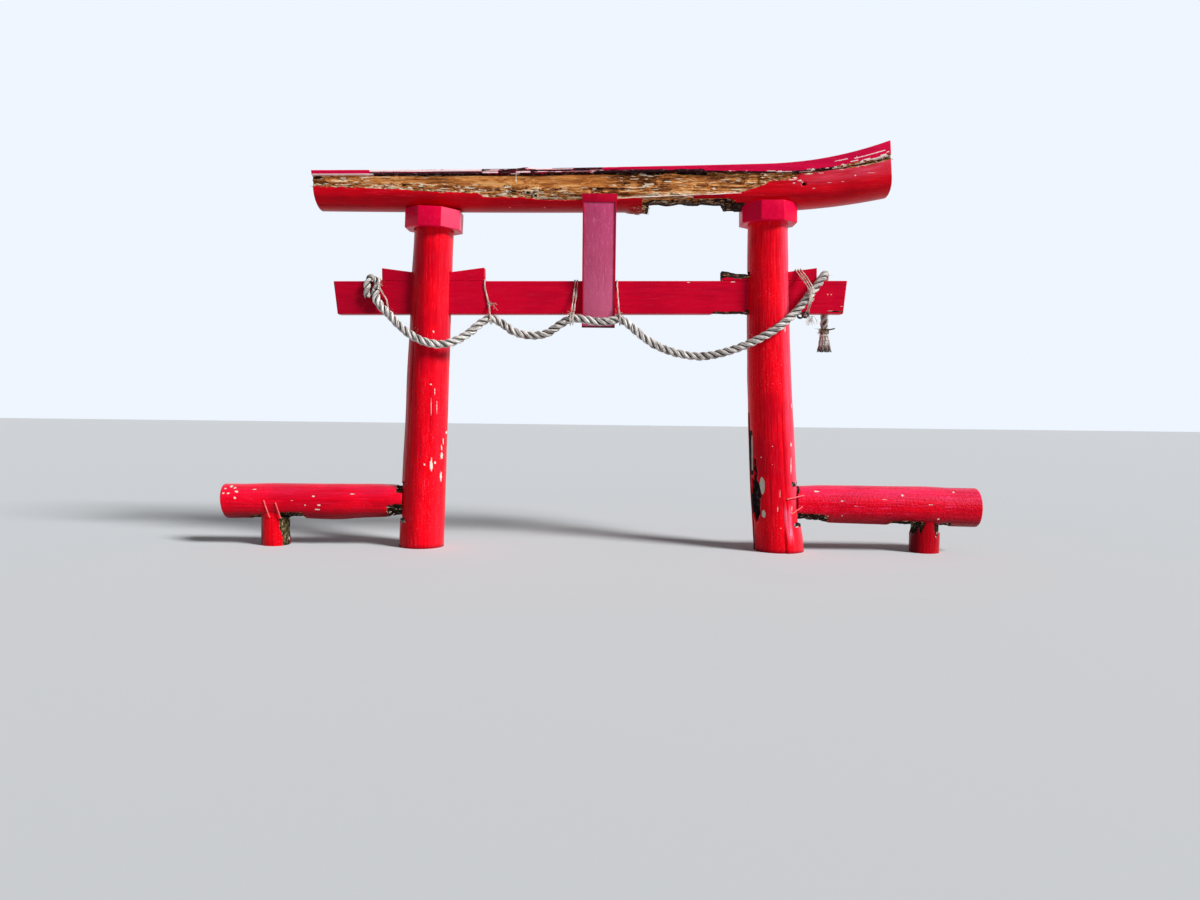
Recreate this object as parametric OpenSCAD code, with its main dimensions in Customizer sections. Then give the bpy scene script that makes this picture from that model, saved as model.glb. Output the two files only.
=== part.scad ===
// A painted log gate. Two leaning pillars with eight-sided collars carry a swept top
// log under a cap. A tie beam runs through both pillars and is locked by wedges. A
// name board, a laid rope and a low side rail on its post complete it. Millimetres, X
// right, Y away from the viewer, Z up. Zero is the gate's middle at the level where
// all feet are cut off.

/* [Pillars] */
// Left pillar's foot, from the gate's middle
left_foot_x = 1590; // [1500:5:1700]
// Right pillar's foot, from the gate's middle
right_foot_x = 1603; // [1500:5:1700]
// Radius of the left pillar at its foot
left_foot_r = 198; // [185:1:225]
// Radius of the right pillar at its foot
right_foot_r = 215; // [185:1:225]
// Radius of both pillars where they end under the top log
pillar_top_r = 172; // [165:1:185]
// How far the left pillar's head stands in from its foot
left_lean_in = 109; // [50:1:150]
// How far the right pillar's head stands in from its foot
right_lean_in = 149; // [50:1:165]
// How far the right log bows towards the passage at half height
right_bow = 32; // [0:1:40]

/* [Collars] */
// Width of a collar across its flats
collar_w = 480; // [460:1:500]
// Height of a collar
collar_h = 170; // [120:1:220]
// How deep the top log is notched over the left collar
left_notch = 3; // [2:1:20]
// How deep the top log is notched over the right collar
right_notch = 47; // [10:1:70]

/* [Top log] */
// Where the underside ends at the left
log_left = 2480; // [2300:5:2600]
// Where the underside ends at the right
log_right = 2490; // [2300:5:2600]
// Height of the underside at the gate's middle
log_under_z = 2978; // [2900:1:3050]
// Rise of the underside towards the right, per metre
log_rise = 14; // [5:1:20]
// How much both ends rise as the log's natural bend
log_bend = 18; // [0:1:50]
// How much the right end sweeps up over that
end_lift = 100; // [40:1:160]
// Where the upward sweep begins
lift_start = 1400; // [1200:10:1800]
// Depth of the log, front to back
log_depth = 390; // [360:1:400]
// Height of the log at the gate's middle
log_height = 300; // [280:1:340]
// Growth of the height of log and cap towards the right, per metre
log_growth = 15; // [0:1:25]
// What the upward sweep adds to that height at the right end
end_growth = 66; // [20:1:90]
// Height of the rounded lower part
log_round = 130; // [110:1:150]
// Lean of the left end's cut, in degrees
left_cut = 5.5; // [0:0.5:12]
// Lean of the right end's cut, in degrees
right_cut = 4; // [0:0.5:12]

/* [Decay] */
// Depth to which the front of the log is rotted away
rot_depth = 30; // [10:1:50]
// Height of sound wood left below the rot at its lowest
rot_sound = 73; // [60:1:100]
// Where the rot ends at the right
rot_end = 1620; // [1500:10:1800]
// Where the broken underside begins
break_left = 410; // [350:5:600]
// Where the broken underside ends
break_right = 1150; // [900:5:1180]
// Height broken off the underside at its front
break_h = 50; // [20:1:60]
// How much more is broken off at its back
break_rise = 80; // [0:5:100]
// Height of the middle of the slit that rot has opened in the right pillar
slit_z = 470; // [380:5:600]
// Length of that slit
slit_len = 500; // [300:10:600]
// Width of that slit
slit_w = 48; // [30:1:70]
// Depth of that slit
slit_deep = 50; // [20:1:70]

/* [Cap] */
// Thickness of the cap at the gate's middle
cap_t = 52; // [40:1:80]
// Growth of the cap's thickness to the right end
cap_growth = 85; // [40:1:110]
// Where the cap begins to thicken
cap_thickens = 600; // [300:10:1200]
// Height of the cap's ridge over its edges
cap_crown = 10; // [4:1:20]
// How far the cap stands out past the log
cap_lip = 5; // [0:1:15]

/* [Tie beam] */
// Where the beam's top edge ends at the left
beam_left = 2354; // [2250:2:2450]
// Where the beam's top edge ends at the right
beam_right = 2156; // [2110:2:2300]
// Height of the beam's underside at the gate's middle
beam_z = 2080; // [2040:1:2110]
// Height of the beam itself
beam_h = 288; // [260:1:300]
// Thickness of the beam, front to back
beam_t = 120; // [100:1:140]
// Rise of the beam towards the right, in degrees
beam_tilt = 0.7; // [0:0.1:1]
// How far each end's cut leans in at the bottom
beam_cut = 32; // [0:1:60]

/* [Wedges] */
// Height of a wedge where it enters the pillar
wedge_h = 80; // [60:1:100]
// Slope of a wedge's top, in degrees
wedge_slope = 7.5; // [4:0.5:10]
// Length of a wedge inside the pillar
wedge_in = 110; // [60:1:140]
// Length of the left outer wedge outside the pillar
left_outer_reach = 253; // [180:1:300]
// Length of the left inner wedge outside the pillar
left_inner_reach = 286; // [180:1:300]
// Length of the right inner wedge outside the pillar
right_inner_reach = 228; // [180:1:300]
// Length of the right outer wedge outside the pillar
right_outer_reach = 240; // [180:1:250]
// Height rotted off the right inner wedge
wedge_rot = 18; // [5:1:30]

/* [Name board] */
// Width of the board
board_w = 290; // [250:1:310]
// Thickness of the board
board_t = 32; // [22:1:45]
// Height of the board's lower edge
board_z = 1960; // [1930:1:2010]
// Length of the board
board_len = 1142; // [1120:1:1170]
// Middle of the board, left of the gate's middle
board_x = 28; // [0:1:60]
// Width of the raised edge strips
edge_w = 13; // [8:1:20]
// Thickness of the raised edge strips
edge_t = 7; // [4:1:12]
// Height of the head strip
head_h = 70; // [40:1:90]

/* [Side rails] */
// Reach of both rails from the gate's middle
rail_reach = 3350; // [3200:10:3500]
// Left rail: radius at its outer end
left_rail_r = 155; // [140:1:180]
// Right rail: radius at its outer end
right_rail_r = 174; // [150:1:185]
// How much thinner the left rail is at the pillar
left_rail_taper = 13; // [0:1:25]
// How much thinner the right rail is at the pillar
right_rail_taper = 18; // [0:1:25]
// Left rail: height of its axis at the outer end
left_rail_z = 384; // [360:1:420]
// Right rail: height of its axis at the outer end
right_rail_z = 402; // [360:1:420]
// Rise of a rail's axis towards its pillar
rail_rise = 22; // [0:1:40]
// Depth of the flat housing that a pillar has for its rail
housing_depth = 30; // [15:1:45]

/* [Rail posts] */
// Radius of a rail post
post_r = 130; // [110:1:140]
// Left post, from the gate's middle
left_post_x = 2890; // [2700:5:3050]
// Right post, from the gate's middle
right_post_x = 2914; // [2700:5:3050]

/* [Rope] */
// Diameter of the rope
rope_d = 74; // [60:1:74]
// Diameter of the tying cord
tie_d = 11; // [8:1:14]
// Length of the frayed tassel
tassel_len = 172; // [120:1:200]
// Radius of the tassel's open end
tassel_r = 64; // [50:1:75]

/* [Fit] */
// Gap left between pieces that bear on each other
fit = 0.3; // [0.2:0.1:0.5]

/* [Hidden] */
$fn = 96;
// Sides of a hewn pillar, and its rings
pillar_sides = 28;
pillar_rings = 12;
// Spacing of the top log's sections
log_step = 70;
// Sections of the rope and the tying cord
rope_sides = 10;
tie_sides = 6;
rope_r = rope_d / 2;
tie_r = tie_d / 2;
// Stands for endlessly far in cuts
far = 4000;
paint = "crimson";
bare_wood = "peru";
hemp = "tan";

// Top log: height of its underside, its height with the cap, the cap's share of
// that, and what is left for the log
function lift(s) = s < lift_start ? 0
    : pow((s - lift_start) / (log_right - lift_start), 2);
function under_z(s) = log_under_z + log_rise * s / 1000
    + log_bend * pow(s / log_right, 2) + end_lift * lift(s);
function both_h(s) = log_height + cap_t + log_growth * s / 1000 + end_growth * lift(s);
function cap_h(s) = cap_t + cap_growth
    * max(0, (s - cap_thickens) / (log_right - cap_thickens));
function log_h(s) = both_h(s) - cap_h(s);

// Pillars: the middle and the radius of each log at a height. side is -1 or 1.
function foot_x(side) = side < 0 ? -left_foot_x : right_foot_x;
function lean_in(side) = side < 0 ? left_lean_in : right_lean_in;
function notch(side) = side < 0 ? left_notch : right_notch;
function top_z(side) = under_z(foot_x(side) - side * lean_in(side)) + notch(side);
function bow(side) = side < 0 ? 0 : right_bow;
function share(side, z) = z / top_z(side);
function log_x(side, z) = foot_x(side) - side * share(side, z)
    * (lean_in(side) + bow(side) * 4 * (1 - share(side, z)));
function foot_r(side) = side < 0 ? left_foot_r : right_foot_r;
function log_r(side, z) = foot_r(side)
    + (pillar_top_r - foot_r(side)) * share(side, z);
// The collar stands square to the log's upper part
collar_span = 500;
function collar_tilt(side) = atan((log_x(side, top_z(side))
    - log_x(side, top_z(side) - collar_span)) / collar_span);

// The end cuts lean, and the lean fades out over this length
cut_fade = 700;
function cut_lean(s) = s < 0
    ? left_cut * max(0, 1 - (s + log_left) / cut_fade)
    : right_cut * max(0, 1 - (log_right - s) / cut_fade);
// Half the log's depth at a height over its underside
function half_depth(h) = h >= log_round ? log_depth / 2
    : log_depth / 2 * sqrt(1 - pow((log_round - h) / log_round, 2));
// The rot's lower edge rises to the left end, and over the last stretch to rot_end
rot_rise = 105;
rot_curve = 1.5;
rot_close = 520;
rot_close_rise = 130;
rot_head = 40;
function rot_low(s) = min(rot_sound + rot_rise * pow(abs(s) / log_left, rot_curve)
    + rot_close_rise * pow(max(0, (s - rot_end) / rot_close + 1), 2),
    log_h(s) - rot_head);
// Its depth ripples along the log and fades out before rot_end
rot_fade = 150;
rot_ripple = 0.2;
rot_ripple_pitch = 830;
function rot_in(s) = rot_depth * min(1, max(0, (rot_end - s) / rot_fade))
    * (1 + rot_ripple * sin(s * 360 / rot_ripple_pitch));
// What is missing from the underside, with a ragged face that rises to the back
break_ripple = 6;
break_ripple_pitch = 212;
function broken(s, y) = s < break_left || s > break_right ? 0
    : break_h + break_rise * (y / log_depth + 0.5)
        + break_ripple * sin(s * 360 / break_ripple_pitch);

function log_point(s, y, h) = [s - h * tan(cut_lean(s)), y,
    under_z(s) + max(h, broken(s, y))];
back_steps = [0.06, 0.22, 0.5, 1];
rot_steps = [1, 0.6, 0.3, 0];
sound_steps = [1, 0.65, 0.35, 0.12, 0.02];
rot_edge = 14;
function log_section(s) = let (top = log_h(s), low = rot_low(s), deep = rot_in(s))
    concat(
        [log_point(s, 0, 0)],
        [for (k = back_steps) log_point(s, half_depth(log_round * k), log_round * k)],
        [log_point(s, log_depth / 2, top), log_point(s, -log_depth / 2, top)],
        [for (k = rot_steps)
            let (h = low + rot_edge + (top - low - 2 * rot_edge) * k)
            log_point(s, deep - half_depth(h), h)],
        [for (k = sound_steps) log_point(s, -half_depth(low * k), low * k)]);

function cap_section(s) = let (low = log_h(s) + fit, top = low + cap_h(s),
        half = log_depth / 2 + cap_lip)
    [for (p = [[-half, low], [half, low], [half, top - cap_crown], [0, top],
            [-half, top - cap_crown]])
        [s - p[1] * tan(cut_lean(s)), p[0], under_z(s) + p[1]]];

// Stations along the log, with one at each end of the broken stretch
function log_stations() = let (n = ceil((log_left + log_right) / log_step))
    [for (i = [0:n]) -log_left + (log_left + log_right) * i / n];

// Tie beam: a place along it, from a place in the gate
function beam_s(x, z) = x * cos(beam_tilt) + (z - beam_z) * sin(beam_tilt);
function beam_under(x) = beam_z + x * tan(beam_tilt);
function beam_top(x) = beam_under(x) + beam_h / cos(beam_tilt);
// Height of the mortise's roof in the gate, and where a wedge enters the pillar
mouth_gap = 2;
function roof_z(side) = beam_top(log_x(side, beam_z + beam_h)) + wedge_h;
function mouth_s(side, out) = beam_s(log_x(side, roof_z(side))
    + out * (log_r(side, roof_z(side)) + mouth_gap), roof_z(side));

// Name board: its back touches the beam's lower edge and, with its head's left
// corner, the log's sound lip. head_over is how far the head stands out at each side.
head_over = 6;
lip_s = -board_x - board_w / 2 - head_over;
lip_h = rot_low(lip_s);
lip_y = half_depth(lip_h) + 3 * fit;
lip_z = under_z(lip_s) + lip_h;
hook_y = beam_t / 2 + fit;
hook_z = beam_under(-board_x);
board_lean = atan((lip_y - hook_y) / (lip_z - hook_z));

// Rails: place and radius of each rail's ends
function housing_x(side) = log_x(side, rail_z(side) + rail_rise)
    + side * (log_r(side, rail_z(side)) - housing_depth);
function rail_z(side) = side < 0 ? left_rail_z : right_rail_z;
function rail_r(side) = side < 0 ? left_rail_r : right_rail_r;
function rail_taper(side) = side < 0 ? left_rail_taper : right_rail_taper;
function post_x(side) = side < 0 ? -left_post_x : right_post_x;

// Moves points drawn for a beam of this height and thickness with the beam
drawn_z = 2080;
drawn_t = 120;
function on_beam(route) = [for (p = route)
    p + [0, sign(p[1]) * (beam_t - drawn_t) / 2, beam_z - drawn_z]];
// Rope: from its eye in front of the beam, past the pillars and the board, and over
// the beam to the tassel behind it
rope_route = on_beam([[-1972, -104, 2262], [-1976, -106, 2224], [-1962, -114, 2170],
    [-1918, -128, 2110], [-1850, -146, 2045], [-1760, -176, 1955],
    [-1650, -210, 1868], [-1525, -226, 1808], [-1395, -226, 1785],
    [-1270, -212, 1815], [-1150, -172, 1890], [-1050, -128, 1982],
    [-967, -104, 2024], [-880, -106, 1988], [-760, -110, 1910], [-620, -114, 1878],
    [-480, -120, 1898], [-365, -128, 1975], [-262, -142, 2026], [-150, -160, 2018],
    [-30, -166, 2002], [75, -164, 2008], [160, -150, 2026], [262, -134, 1962],
    [380, -134, 1865], [530, -142, 1780], [700, -156, 1728], [870, -176, 1712],
    [1040, -204, 1738], [1200, -234, 1790], [1360, -246, 1865], [1520, -246, 1962],
    [1655, -222, 2080], [1760, -184, 2200], [1845, -152, 2304], [1885, -138, 2360],
    [1922, -106, 2410], [1950, -58, 2442], [1970, 0, 2453], [1984, 58, 2442],
    [1995, 106, 2410], [2004, 138, 2360], [2009, 149, 2304], [2012, 150, 2200],
    [2012, 150, 2100], [2012, 150, 1990]]);
// The short eye in which the rope ends at the left
eye_r = 31;
eye_route = on_beam([[-1972, -104, 2262.3], [-1968, -102, 2300.3],
    [-1966, -102, 2330], [-1980, -102, 2360], [-2010, -102, 2372],
    [-2038, -102, 2354], [-2050, -102, 2316], [-2052, -102, 2260],
    [-2050, -102, 2195]]);

function unit(v) = v / norm(v);
function along(p, i, closed) = let (n = len(p),
        a = closed ? p[(i + n - 1) % n] : p[max(0, i - 1)],
        b = closed ? p[(i + 1) % n] : p[min(n - 1, i + 1)]) unit(b - a);
function square_to(v, t) = unit(v - (v * t) * t);
// A tube's rings, each turned from the one before it by as little as it can be
function tube_rings(p, r, sides, start, closed) = let (n = len(p),
        across = [for (i = 0, v = square_to(start, along(p, 0, closed)); i < n;
            i = i + 1, v = i < n ? square_to(v, along(p, i, closed)) : v) v])
    [for (i = [0:n - 1]) let (t = along(p, i, closed), u = across[i], w = cross(t, u))
        [for (k = [0:sides - 1]) p[i] + r * (cos(360 * k / sides) * u
            + sin(360 * k / sides) * w)]];

// A solid through rings of equal length, each of which turns right-handed about the
// way to the next. Closed rings join the last to the first.
module loft(rings, closed = false) {
    n = len(rings);
    m = len(rings[0]);
    sides = [for (i = [0:n - (closed ? 1 : 2)]) for (k = [0:m - 1])
        [i * m + k, ((i + 1) % n) * m + k, ((i + 1) % n) * m + (k + 1) % m,
            i * m + (k + 1) % m]];
    ends = closed ? [] : [[for (k = [0:m - 1]) k],
        [for (k = [m - 1:-1:0]) (n - 1) * m + k]];
    polyhedron([for (ring = rings) for (p = ring) p], concat(sides, ends), convexity = 8);
}

module tube(route, r, sides, start, closed = false)
    loft(tube_rings(route, r, sides, start, closed), closed);

module log_blank(side, extra = 0) {
    over = 60;
    top = top_z(side) + over;
    loft([for (i = [0:pillar_rings]) let (z = top * i / pillar_rings)
        [for (k = [0:pillar_sides - 1]) let (a = 360 * k / pillar_sides)
            [log_x(side, z) + (log_r(side, z) + extra) * cos(a),
                (log_r(side, z) + extra) * sin(a), z]]]);
}

// Stands children in the collar's place, with its top at zero
module at_collar(side)
    translate([log_x(side, top_z(side)), 0, top_z(side)])
        rotate([0, collar_tilt(side), 0]) children();

module octagon(w) rotate([0, 0, 22.5]) circle(d = w / cos(22.5), $fn = 8);

module in_beam() translate([0, 0, beam_z]) rotate([0, -beam_tilt, 0]) children();

module mortise()
    in_beam() translate([-far, -beam_t / 2 - fit, -fit])
        cube([2 * far, beam_t + 2 * fit, beam_h + wedge_h + 2 * fit]);

module housing(side) {
    clear = 6;
    reach = rail_r(side) + clear;
    mid = rail_z(side) + rail_rise;
    translate([housing_x(side), 0, mid])
        translate([side < 0 ? -far : 0, -far / 2, -reach])
            cube([far, far, 2 * reach]);
}

// The slit opens towards the passage and the viewer
slit_at = 215;
module foot_slit() translate([log_x(1, slit_z), 0, slit_z]) rotate([0, 0, slit_at])
    translate([log_r(1, slit_z), 0, 0])
        scale([slit_deep, slit_w / 2, slit_len / 2]) sphere(1, $fn = 24);

module pillar(side) {
    color(paint) difference() {
        log_blank(side);
        at_collar(side) translate([-far / 2, -far / 2, 0]) cube(far);
        mortise();
        housing(side);
        if (side > 0) foot_slit();
    }
}

module collar(side) {
    color(paint) difference() {
        at_collar(side) translate([0, 0, -collar_h])
            linear_extrude(collar_h) octagon(collar_w);
        log_blank(side, fit);
    }
}

module top_log() {
    seat = 1;
    color(bare_wood) difference() {
        loft([for (s = log_stations()) log_section(s)]);
        for (side = [-1, 1]) at_collar(side) translate([0, 0, fit - collar_h])
            linear_extrude(collar_h) octagon(collar_w + 2 * seat);
    }
}

module top_cap() color(paint) loft([for (s = log_stations()) cap_section(s)]);

module tie_beam() {
    color(paint) in_beam() translate([0, beam_t / 2, 0]) rotate([90, 0, 0])
        linear_extrude(beam_t) polygon([[beam_cut - beam_left, 0],
            [beam_right - beam_cut, 0], [beam_right, beam_h], [-beam_left, beam_h]]);
}

// A wedge on the beam. out is 1 where its thick end points right. Rot takes a height
// off its top, and half of that again where the top sags.
module wedge(side, out, reach, lost = 0) {
    mouth = mouth_s(side, out);
    outer = mouth + out * reach;
    inner = mouth - out * wedge_in;
    low = beam_h + fit;
    high = beam_h + wedge_h - lost;
    sag = reach * 0.4;
    color(lost > 0 ? bare_wood : paint) in_beam() translate([0, beam_t / 2, 0])
        rotate([90, 0, 0]) linear_extrude(beam_t) polygon([[inner, low], [outer, low],
            [outer, high + reach * tan(wedge_slope)],
            [mouth + out * sag, high + sag * tan(wedge_slope) - lost / 2],
            [inner, high - wedge_in * tan(wedge_slope)]]);
}

// The board's own frame: X across, Y through it from its back at zero, Z up it
module in_board() translate([-board_x, -hook_y, hook_z])
    rotate([board_lean, 0, 0]) translate([0, 0, (board_z - hook_z) / cos(board_lean)])
    children();

module board_strip(x, z, w, h, t, y = -board_t - fit) {
    color(paint) in_board() translate([x - w / 2, y - t, z]) cube([w, t, h]);
}

module name_board()
    color("palevioletred") in_board() translate([-board_w / 2, -board_t, 0])
        cube([board_w, board_t, board_len - head_h]);

// The whole cone of a rail, run a little into its pillar
module rail_cone(side, extra = 0) {
    over = 12;
    run = rail_reach - abs(housing_x(side)) + over;
    slope = atan(rail_rise / run);
    translate([side * rail_reach, 0, rail_z(side)]) rotate([0, -side * (90 - slope), 0])
        translate([0, 0, -over]) cylinder(h = run / cos(slope) + over,
            r1 = rail_r(side) + extra, r2 = rail_r(side) - rail_taper(side) + extra);
}

module rail(side) {
    inner = abs(housing_x(side)) + fit;
    color(paint) intersection() {
        rail_cone(side);
        translate([side < 0 ? -rail_reach : inner, -far / 2, 0])
            cube([rail_reach - inner, far, far]);
    }
}

// A post's shoulders end this far under the axis of its rail
shoulder = 60;
module post(side) {
    color(paint) difference() {
        translate([post_x(side), 0, 0])
            cylinder(h = rail_z(side) - shoulder, r = post_r);
        rail_cone(side, fit);
    }
}

module rope() color(hemp) tube(rope_route, rope_r, rope_sides, [0, 1, 0]);

module rope_eye() color(hemp) tube(eye_route, eye_r, rope_sides, [0, 1, 0]);

rope_end = rope_route[len(rope_route) - 1];
binding_h = 44;
binding_t = 6;
module rope_binding()
    color(hemp) translate(rope_end) translate([0, 0, -fit - binding_h])
        cylinder(h = binding_h, r = rope_r + binding_t);

module rope_tassel()
    color(hemp) translate(rope_end) translate([0, 0, -2 * fit - binding_h - tassel_len])
        cylinder(h = tassel_len, r1 = tassel_r, r2 = rope_r);

// How far the rope stands out under a tie, where it bends
rope_bulge = 9;
// The rope's middle and steepness where it hangs in front of a place along the gate
hung = [for (i = [3:len(rope_route) - 9]) rope_route[i]];
function rope_at(x) = [x, lookup(x, [for (p = hung) [p[0], p[1]]]),
    lookup(x, [for (p = hung) [p[0], p[2]]])];
function rope_slope(x) = let (run = 15, d = rope_at(x + run) - rope_at(x - run))
    atan(d[2] / d[0]);
// Points of a tie round the rope, at angles counted from the back
function round_rope(x, angles) = let (steep = 1 / cos(rope_slope(x)),
        c = tie_r * steep + fit + rope_bulge)
    [for (a = angles) rope_at(x) + [0, (rope_r + c) * cos(a),
        (rope_r * steep + c) * sin(a)]];

// A loop of tying cord over the beam and round the rope
function loop_route(top_x, rope_x) = let (c = tie_r + fit, half = beam_t / 2,
        top = beam_top(top_x), low = beam_under(rope_x))
    concat([[top_x, half, top + c], [top_x, -half, top + c], [top_x, -half - c, top]],
        round_rope(rope_x, [180, 215, 250, 285, 320]),
        [[rope_x, half, low - c], [rope_x, half + c, low], [top_x, half + c, top]]);

module loop_tie(route) color(hemp) tube(route, tie_r, tie_sides, [1, 0, 0], true);

module left_beam_tie() loop_tie(loop_route(-1028, -967));

module board_left_tie() for (x = [-238, -216]) loop_tie(loop_route(x, x - 32));

module board_right_tie() loop_tie(loop_route(134, 160));

// Over the beam, round the eye's right leg and back under the beam
module eye_tie() {
    c = tie_r + fit;
    half = beam_t / 2;
    over_x = -1944;
    under_x = -1870;
    top = beam_top(over_x);
    low = beam_under(under_x);
    loop_tie(concat([[over_x, half, top + c], [over_x, -half, top + c]],
        on_beam([[-1946, -104, 2374], [-1940, -142, 2340], [-1934, -144, 2290],
            [-1915, -88, 2225], [-1888, -70, 2170]]),
        [[under_x, -half - c, low], [under_x, -half, low - c],
            [under_x, half, low - c], [under_x, half + c, low],
            [over_x, half + c, top]]));
}

// Three turns over the right outer wedge, in front of the rope and under the beam
wedge_tie_x = [1700, 1724, 1748];
wedge_tie_shift = 96;
module wedge_tie() {
    c = tie_r + fit;
    half = beam_t / 2;
    mouth = mouth_s(1, 1);
    for (x = wedge_tie_x) {
        top = beam_top(x) + fit + wedge_h
            + (x - mouth) * tan(wedge_slope + beam_tilt) / cos(beam_tilt);
        end = x + wedge_tie_shift;
        low = beam_under(end);
        loop_tie([[x, half, top + c], [x, -half, top + c], [x, -half - c, top],
            each round_rope(end, [126, 155, 184, 213, 242, 271]), [end, -half - c, low],
            [end, -half, low - c], [end, half, low - c], [end, half + c, low],
            [x, half + c, top]]);
    }
}

// Two twists of black wire beside the foremost of those turns
module wire_loops() {
    wire_r = 3;
    ring_r = 23;
    pitch = 2 * (ring_r + wire_r) + fit;
    first = wedge_tie_x[0] + wedge_tie_shift - tie_r - fit - wire_r - ring_r;
    color("black") for (i = [0, 1])
        translate([first - i * pitch, -beam_t / 2 - fit - wire_r,
                beam_under(first) - tie_r - i * wire_r]) rotate([90, 0, 0])
            rotate_extrude($fn = 24) translate([ring_r, 0]) circle(r = wire_r, $fn = 8);
}

pillar(-1);  // left_pillar
pillar(1);  // right_pillar
collar(-1);  // left_collar
collar(1);  // right_collar
top_log();
top_cap();
tie_beam();
wedge(-1, -1, left_outer_reach);  // left_outer_wedge
wedge(-1, 1, left_inner_reach);  // left_inner_wedge
wedge(1, -1, right_inner_reach, wedge_rot);  // right_inner_wedge
wedge(1, 1, right_outer_reach);  // right_outer_wedge
name_board();
board_strip(0, board_len - head_h + fit, board_w + 2 * head_over, head_h,  // board_head
        board_t + edge_t, 0);
board_strip((edge_w - board_w) / 2, edge_w, edge_w, board_len - head_h - edge_w, edge_t);  // board_left_edge
board_strip((board_w - edge_w) / 2, edge_w, edge_w, board_len - head_h - edge_w, edge_t);  // board_right_edge
board_strip(0, 0, board_w, edge_w - fit, edge_t);  // board_foot
rail(-1);  // left_rail
rail(1);  // right_rail
post(-1);  // left_post
post(1);  // right_post
rope();
rope_eye();
rope_binding();
rope_tassel();
eye_tie();
left_beam_tie();
board_left_tie();
board_right_tie();
wedge_tie();
wire_loops();
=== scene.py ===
import math
from itertools import product

import bmesh
import bpy
import numpy as np
from mathutils import Matrix, Vector


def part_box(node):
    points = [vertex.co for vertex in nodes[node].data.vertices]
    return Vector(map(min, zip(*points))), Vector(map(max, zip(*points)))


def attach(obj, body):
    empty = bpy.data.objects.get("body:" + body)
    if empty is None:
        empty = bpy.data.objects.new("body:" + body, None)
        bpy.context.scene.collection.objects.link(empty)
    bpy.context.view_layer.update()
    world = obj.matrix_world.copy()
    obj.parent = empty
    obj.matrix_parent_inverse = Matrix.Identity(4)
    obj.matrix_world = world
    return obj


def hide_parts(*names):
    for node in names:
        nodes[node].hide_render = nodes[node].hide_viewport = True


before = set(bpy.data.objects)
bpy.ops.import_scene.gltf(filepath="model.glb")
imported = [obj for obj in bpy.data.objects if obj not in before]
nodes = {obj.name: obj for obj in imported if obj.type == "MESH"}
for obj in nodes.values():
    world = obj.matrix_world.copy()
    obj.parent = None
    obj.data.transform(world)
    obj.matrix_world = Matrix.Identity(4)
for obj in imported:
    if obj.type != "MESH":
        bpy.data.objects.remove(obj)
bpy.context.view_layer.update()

# Camera: 8.2 m in front of the gate and low over the ground, tipped down a little
# and turned a little, as the gate was seen.
CAMERA_PLACE = Vector((0.0, -8.2, 1.252))
CAMERA_TIP_DOWN = math.radians(2.61)
CAMERA_TURN = math.radians(0.67)
FOCAL_PX = 920
FRAME_PX = 1200
SENSOR_MM = 36


def in_scene(name, data):
    """A new object in the scene."""
    made = bpy.data.objects.new(name, data)
    bpy.context.scene.collection.objects.link(made)
    return made


lens = bpy.data.cameras.new("camera")
lens.sensor_width = SENSOR_MM
lens.lens = FOCAL_PX / FRAME_PX * SENSOR_MM
camera = in_scene("camera", lens)
camera.rotation_mode = "QUATERNION"
aim = Matrix.Rotation(math.pi / 2 - CAMERA_TIP_DOWN, 4, "X")
camera.matrix_world = (
    Matrix.Translation(CAMERA_PLACE) @ aim @ Matrix.Rotation(CAMERA_TURN, 4, "Z"))
bpy.context.scene.camera = camera
bpy.context.scene.view_settings.view_transform = "Standard"


# Rope: a hawser of three strands, each laid up from yarns, off-white hemp gone grey.
# It starts at its eye on the beam's left end, hangs in front of the pillars and the
# board, and goes over the beam's right end to hang behind it.
ROPE_D = 0.074
ROPE_LAY = 0.205
ROPE_STEP = 0.011
ROPE_COLOUR = (1.0, 0.97, 0.92)
ROPE_DARK = (0.085, 0.070, 0.065)
rope_points = [
    (-1.972, -0.104, 2.262), (-1.976, -0.106, 2.224), (-1.962, -0.114, 2.170),
    (-1.918, -0.128, 2.110), (-1.850, -0.146, 2.045), (-1.760, -0.176, 1.955),
    (-1.650, -0.210, 1.868), (-1.525, -0.226, 1.808), (-1.395, -0.226, 1.785),
    (-1.270, -0.212, 1.815), (-1.150, -0.172, 1.890), (-1.050, -0.128, 1.982),
    (-0.967, -0.104, 2.024), (-0.880, -0.106, 1.988), (-0.760, -0.110, 1.910),
    (-0.620, -0.114, 1.878), (-0.480, -0.120, 1.898), (-0.365, -0.128, 1.975),
    (-0.262, -0.142, 2.026), (-0.150, -0.160, 2.018), (-0.030, -0.166, 2.002),
    (0.075, -0.164, 2.008), (0.160, -0.150, 2.026), (0.262, -0.134, 1.962),
    (0.380, -0.134, 1.865), (0.530, -0.142, 1.780), (0.700, -0.156, 1.728),
    (0.870, -0.176, 1.712), (1.040, -0.204, 1.738), (1.200, -0.234, 1.790),
    (1.360, -0.246, 1.865), (1.520, -0.246, 1.962), (1.655, -0.222, 2.080),
    (1.760, -0.184, 2.200), (1.845, -0.152, 2.304), (1.885, -0.138, 2.360),
    (1.922, -0.106, 2.410), (1.950, -0.058, 2.442), (1.970, 0.000, 2.453),
    (1.984, 0.058, 2.442), (1.995, 0.106, 2.410), (2.004, 0.138, 2.360),
    (2.009, 0.149, 2.304), (2.012, 0.150, 2.200), (2.012, 0.150, 2.100),
    (2.012, 0.150, 1.990), (2.012, 0.150, 1.890)]
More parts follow.
